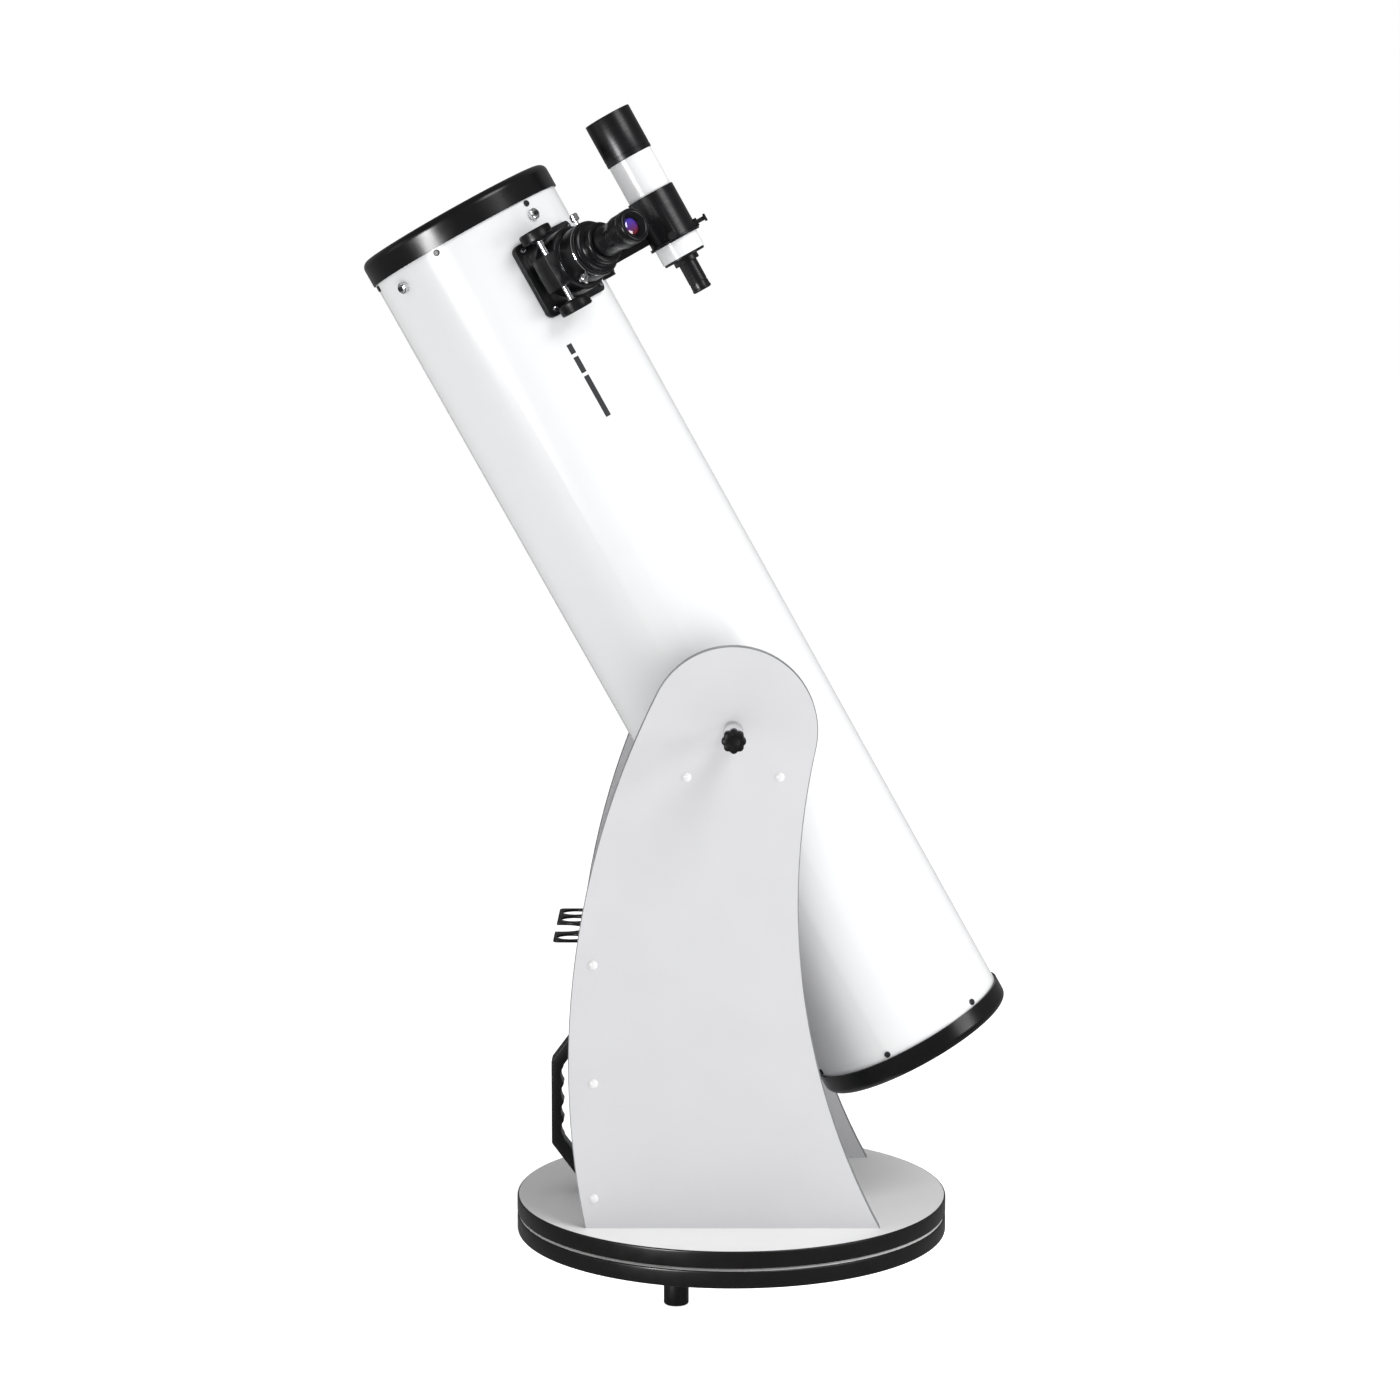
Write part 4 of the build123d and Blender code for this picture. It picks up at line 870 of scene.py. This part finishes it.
lens = turned(
    "eye_lens",
    [
        (0, lens_low),
        (lens_r, lens_low),
        (lens_r, lens_high - 1.6),
        (8.4, lens_high - 1.05),
        (6.6, lens_high - 0.6),
        (4.6, lens_high - 0.26),
        (2.4, lens_high - 0.07),
        (0, lens_high),
    ],
)
set_in(lens, focuser_frame)
finished(lens, eye_glass, "eyepiece", "lens_glass", "eyepiece_lens", smooth=60.0)

# ---- Finder ----
low, high, hood_r = reach("finder_hood", finder_frame)
hood_inset = 0.3
hood_r -= hood_inset
hood = turned(
    "dew_hood",
    [
        (hood_r - 1.65, low),
        (hood_r - 0.5, low),
        (hood_r, low + 0.6),
        (hood_r, low + 5.0),
        (hood_r - 0.35, low + 5.3),
        (hood_r - 0.35, low + 6.3),
        (hood_r, low + 6.6),
        (hood_r, high - 0.8),
        (hood_r - 0.4, high - 0.1),
        (hood_r - 1.3, high),
        (hood_r - 1.5, high - 0.6),
        (hood_r - 1.5, low + 16.2),
        (hood_r - 2.65, low + 14.4),
        (hood_r - 2.65, low + 8.1),
        (hood_r - 1.65, low + 8.1),
    ],
    steps=128,
)
set_in(hood, finder_frame)
finished(hood, finder_black, "finder_front", "black_paint", "finder_hood")
# Painted reflection: the objective and finder eye lens colour fades from green to purple across the
# face.
green, purple = (0.012, 0.05, 0.035), (0.05, 0.02, 0.09)
objective_glass = painted_reflection_glass("objective_painted_reflection", green, purple, finder_frame, 25 * mm)
cell_r = hood_r - 2.7
objective = turned(
    "objective",
    [
        (0, low + 8.4),
        (cell_r, low + 8.4),
        (cell_r, low + 12.4),
        (20.0, low + 13.35),
        (14.0, low + 13.85),
        (7.0, low + 14.1),
        (0, low + 14.2),
    ],
)
set_in(objective, finder_frame)
finished(objective, objective_glass, "finder_front", "lens_glass", "finder_hood", smooth=60.0)

low, high, cap_r = reach("finder_eyepiece", finder_frame)
tail = turned(
    "finder_tail",
    [
        (6.0, low),
        (9.6, low),
        (11.0, low + 0.8),
        (11.6, low + 1.6),
        (11.6, low + 3.2),
        (11.0, low + 3.8),
        (11.0, low + 9.5),
        (10.6, low + 9.9),
        (10.6, low + 11.0),
        (11.0, low + 11.4),
        (11.0, low + 36.0),
        (14.6, low + 36.02),
        (15.25, low + 36.7),
        (15.25, low + 41.98),
        (cap_r - 1.0, low + 42.0),
        (cap_r, low + 42.8),
        (cap_r, low + 44.6),
        (cap_r - 0.4, low + 44.97),
        (25.45, low + 44.98),
        (25.45, high),
        (6.0, high),
    ],
    steps=112,
)
ease(tail, 0.25)
set_in(tail, finder_frame)
finished(tail, finder_black, "finder", "black_plastic", "finder_eyepiece")
eye_r = 5.98
eye = turned(
    "finder_eye_lens",
    [(0, low + 1.2), (eye_r, low + 1.2), (eye_r, low + 3.0), (0, low + 3.4)],
    steps=64,
)
set_in(eye, finder_frame)
finished(eye, objective_glass, "finder", "lens_glass", smooth=60.0)

for name in ("top", "side"):
    node = f"finder_adjuster_{name}"
    joint = joints[f"adjuster_turn_{name}"]
    place = frame_from(Vector(joint["pos_m"]), tube_axis, Vector(joint["axis"]))
    low, high, head_r = reach(node, place)
    screw = turned(
        f"adjuster_{name}",
        [
            (0, low),
            (1.8, low),
            (2.5, low + 0.8),
            (2.5, high - 3.0),
            (head_r - 0.4, high - 3.0),
            (head_r, high - 2.6),
            (head_r, high - 0.6),
            (head_r - 0.6, high),
            (0, high),
        ],
        steps=48,
    )
    knurl(screw, high - 2.5, high - 0.7, head_r, 0.3, 24)
    set_in(screw, place)
    finished(screw, black_zinc, f"adjuster_{name}", "black_plastic", node)

# ---- Collimation knobs ----
for number in (1, 2, 3):
    node = f"collimation_knob_{number}"
    pos = Vector(joints[f"collimation_turn_{number}"]["pos_m"])
    place = frame_from(pos, axis_y, tube_axis)
    low, high, grip_r = reach(node, place)
    knob = turned(
        f"collimation_grip_{number}",
        [
            (0, low),
            (5.6, low),
            (6.2, low + 0.5),
            (grip_r - 1.6, low),
            (grip_r, low + 1.4),
            (grip_r, low + 6.8),
            (grip_r - 1.2, low + 8.0),
            (3.0, low + 8.0),
            (3.0, high - 0.4),
            (2.6, high),
            (0, high),
        ],
        steps=80,
    )
    lobes(knob, 10, 1.1, grip_r, 7.0)
    set_in(knob, place)
    finished(knob, black_moulding, f"collimation_{number}", "black_plastic", node)

# ---- Plain printed bars on the tube ----
ink_low, ink_high = tube_r + 0.02, tube_r + 0.1
bars = []
for low, high in ((376, 428), (432, 452), (456, 468)):
    face = [(ink_low, low), (ink_high, low), (ink_high, high), (ink_low, high)]
    bar = turned("bar", face, steps=8, turn=3.2, start=-64.0)
    set_in(bar, tube_frame)
    bars.append(bar)
finished(joined("printed_bars", bars), print_ink, "tube", "black_plastic")


# ---- Floor, lights and camera ----
def sky(background, strength):
    """Sets a background to plain white of a strength."""
    background.inputs["Color"].default_value = (1, 1, 1, 1)
    background.inputs["Strength"].default_value = strength
    return background.outputs["Background"]


def by_ray(tree, test, otherwise, chosen):
    """One shader for the rays that pass a test and another for the rest."""
    path = tree.nodes.new("ShaderNodeLightPath")
    mix = tree.nodes.new("ShaderNodeMixShader")
    tree.links.new(path.outputs[test], mix.inputs["Fac"])
    tree.links.new(otherwise, mix.inputs[1])
    tree.links.new(chosen, mix.inputs[2])
    return mix.outputs["Shader"]


def studio():
    """White floor and sky, three soft boxes, and a fourth that shows only in reflections."""
    deselect()
    bpy.ops.mesh.primitive_plane_add(size=60, location=(0, 0, 0))
    floor = bpy.context.object
    floor.name = "floor"
    material = new_material("floor_paint", (0.95, 0.95, 0.95), 0.9, specular=0.05)
    coords = object_coords(material)
    set_input(material, "Roughness", spread(material, noise(material, coords, 3.0), 0.85, 0.95))
    shader = material.node_tree.nodes["Principled BSDF"]
    shader.inputs["Emission Color"].default_value = (1, 1, 1, 1)
    shader.inputs["Emission Strength"].default_value = 0.62
    floor.data.materials.append(material)
    floor.visible_glossy = False

    world = bpy.data.worlds.new("studio")
    bpy.context.scene.world = world
    world.use_nodes = True
    tree = world.node_tree
    lighting = sky(tree.nodes["Background"], 0.44)
    backdrop = sky(tree.nodes.new("ShaderNodeBackground"), 1.0)
    reflected = sky(tree.nodes.new("ShaderNodeBackground"), 0.22)
    unseen = by_ray(tree, "Is Glossy Ray", lighting, reflected)
    seen = by_ray(tree, "Is Camera Ray", unseen, backdrop)
    tree.links.new(seen, tree.nodes["World Output"].inputs["Surface"])

    for name, place, size, power, target, gloss_only in (
        ("key_box", (1.9, -2.4, 4.0), 1.8, 86, (0, 0, 0.6), False),
        ("right_box", (3.0, -1.6, 1.5), 1.4, 42, (0, 0, 0.2), False),
        ("left_box", (-3.0, -0.6, 1.2), 1.4, 4, (0, 0, 0.1), False),
        ("strip_box", (-1.75, -2.3, 0.7), 0.8, 95, (-0.3, 0, 1.1), True),
    ):
        bpy.ops.object.light_add(type="AREA", location=place)
        lamp = bpy.context.object
        lamp.name = name
        lamp.data.size = size
        lamp.data.energy = power
        aim = Vector(target) - Vector(place)
        lamp.rotation_euler = aim.to_track_quat("-Z", "Y").to_euler()
        lamp.visible_diffuse = not gloss_only


def camera():
    """Camera a little lower than the top of the tube, looking slightly down at the near side."""
    tilt_down = 7.32
    roll = 0.05
    data = bpy.data.cameras.new("camera")
    data.lens = 86.29
    data.sensor_width = 36
    data.clip_end = 100
    holder = bpy.data.objects.new("camera", data)
    bpy.context.scene.collection.objects.link(holder)
    holder.location = (-0.0341, -3.9103, 1.1672)
    holder.rotation_euler = (radians(90 - tilt_down), 0, radians(roll))
    bpy.context.scene.camera = holder


studio()
camera()
bpy.context.scene.view_settings.view_transform = "Standard"
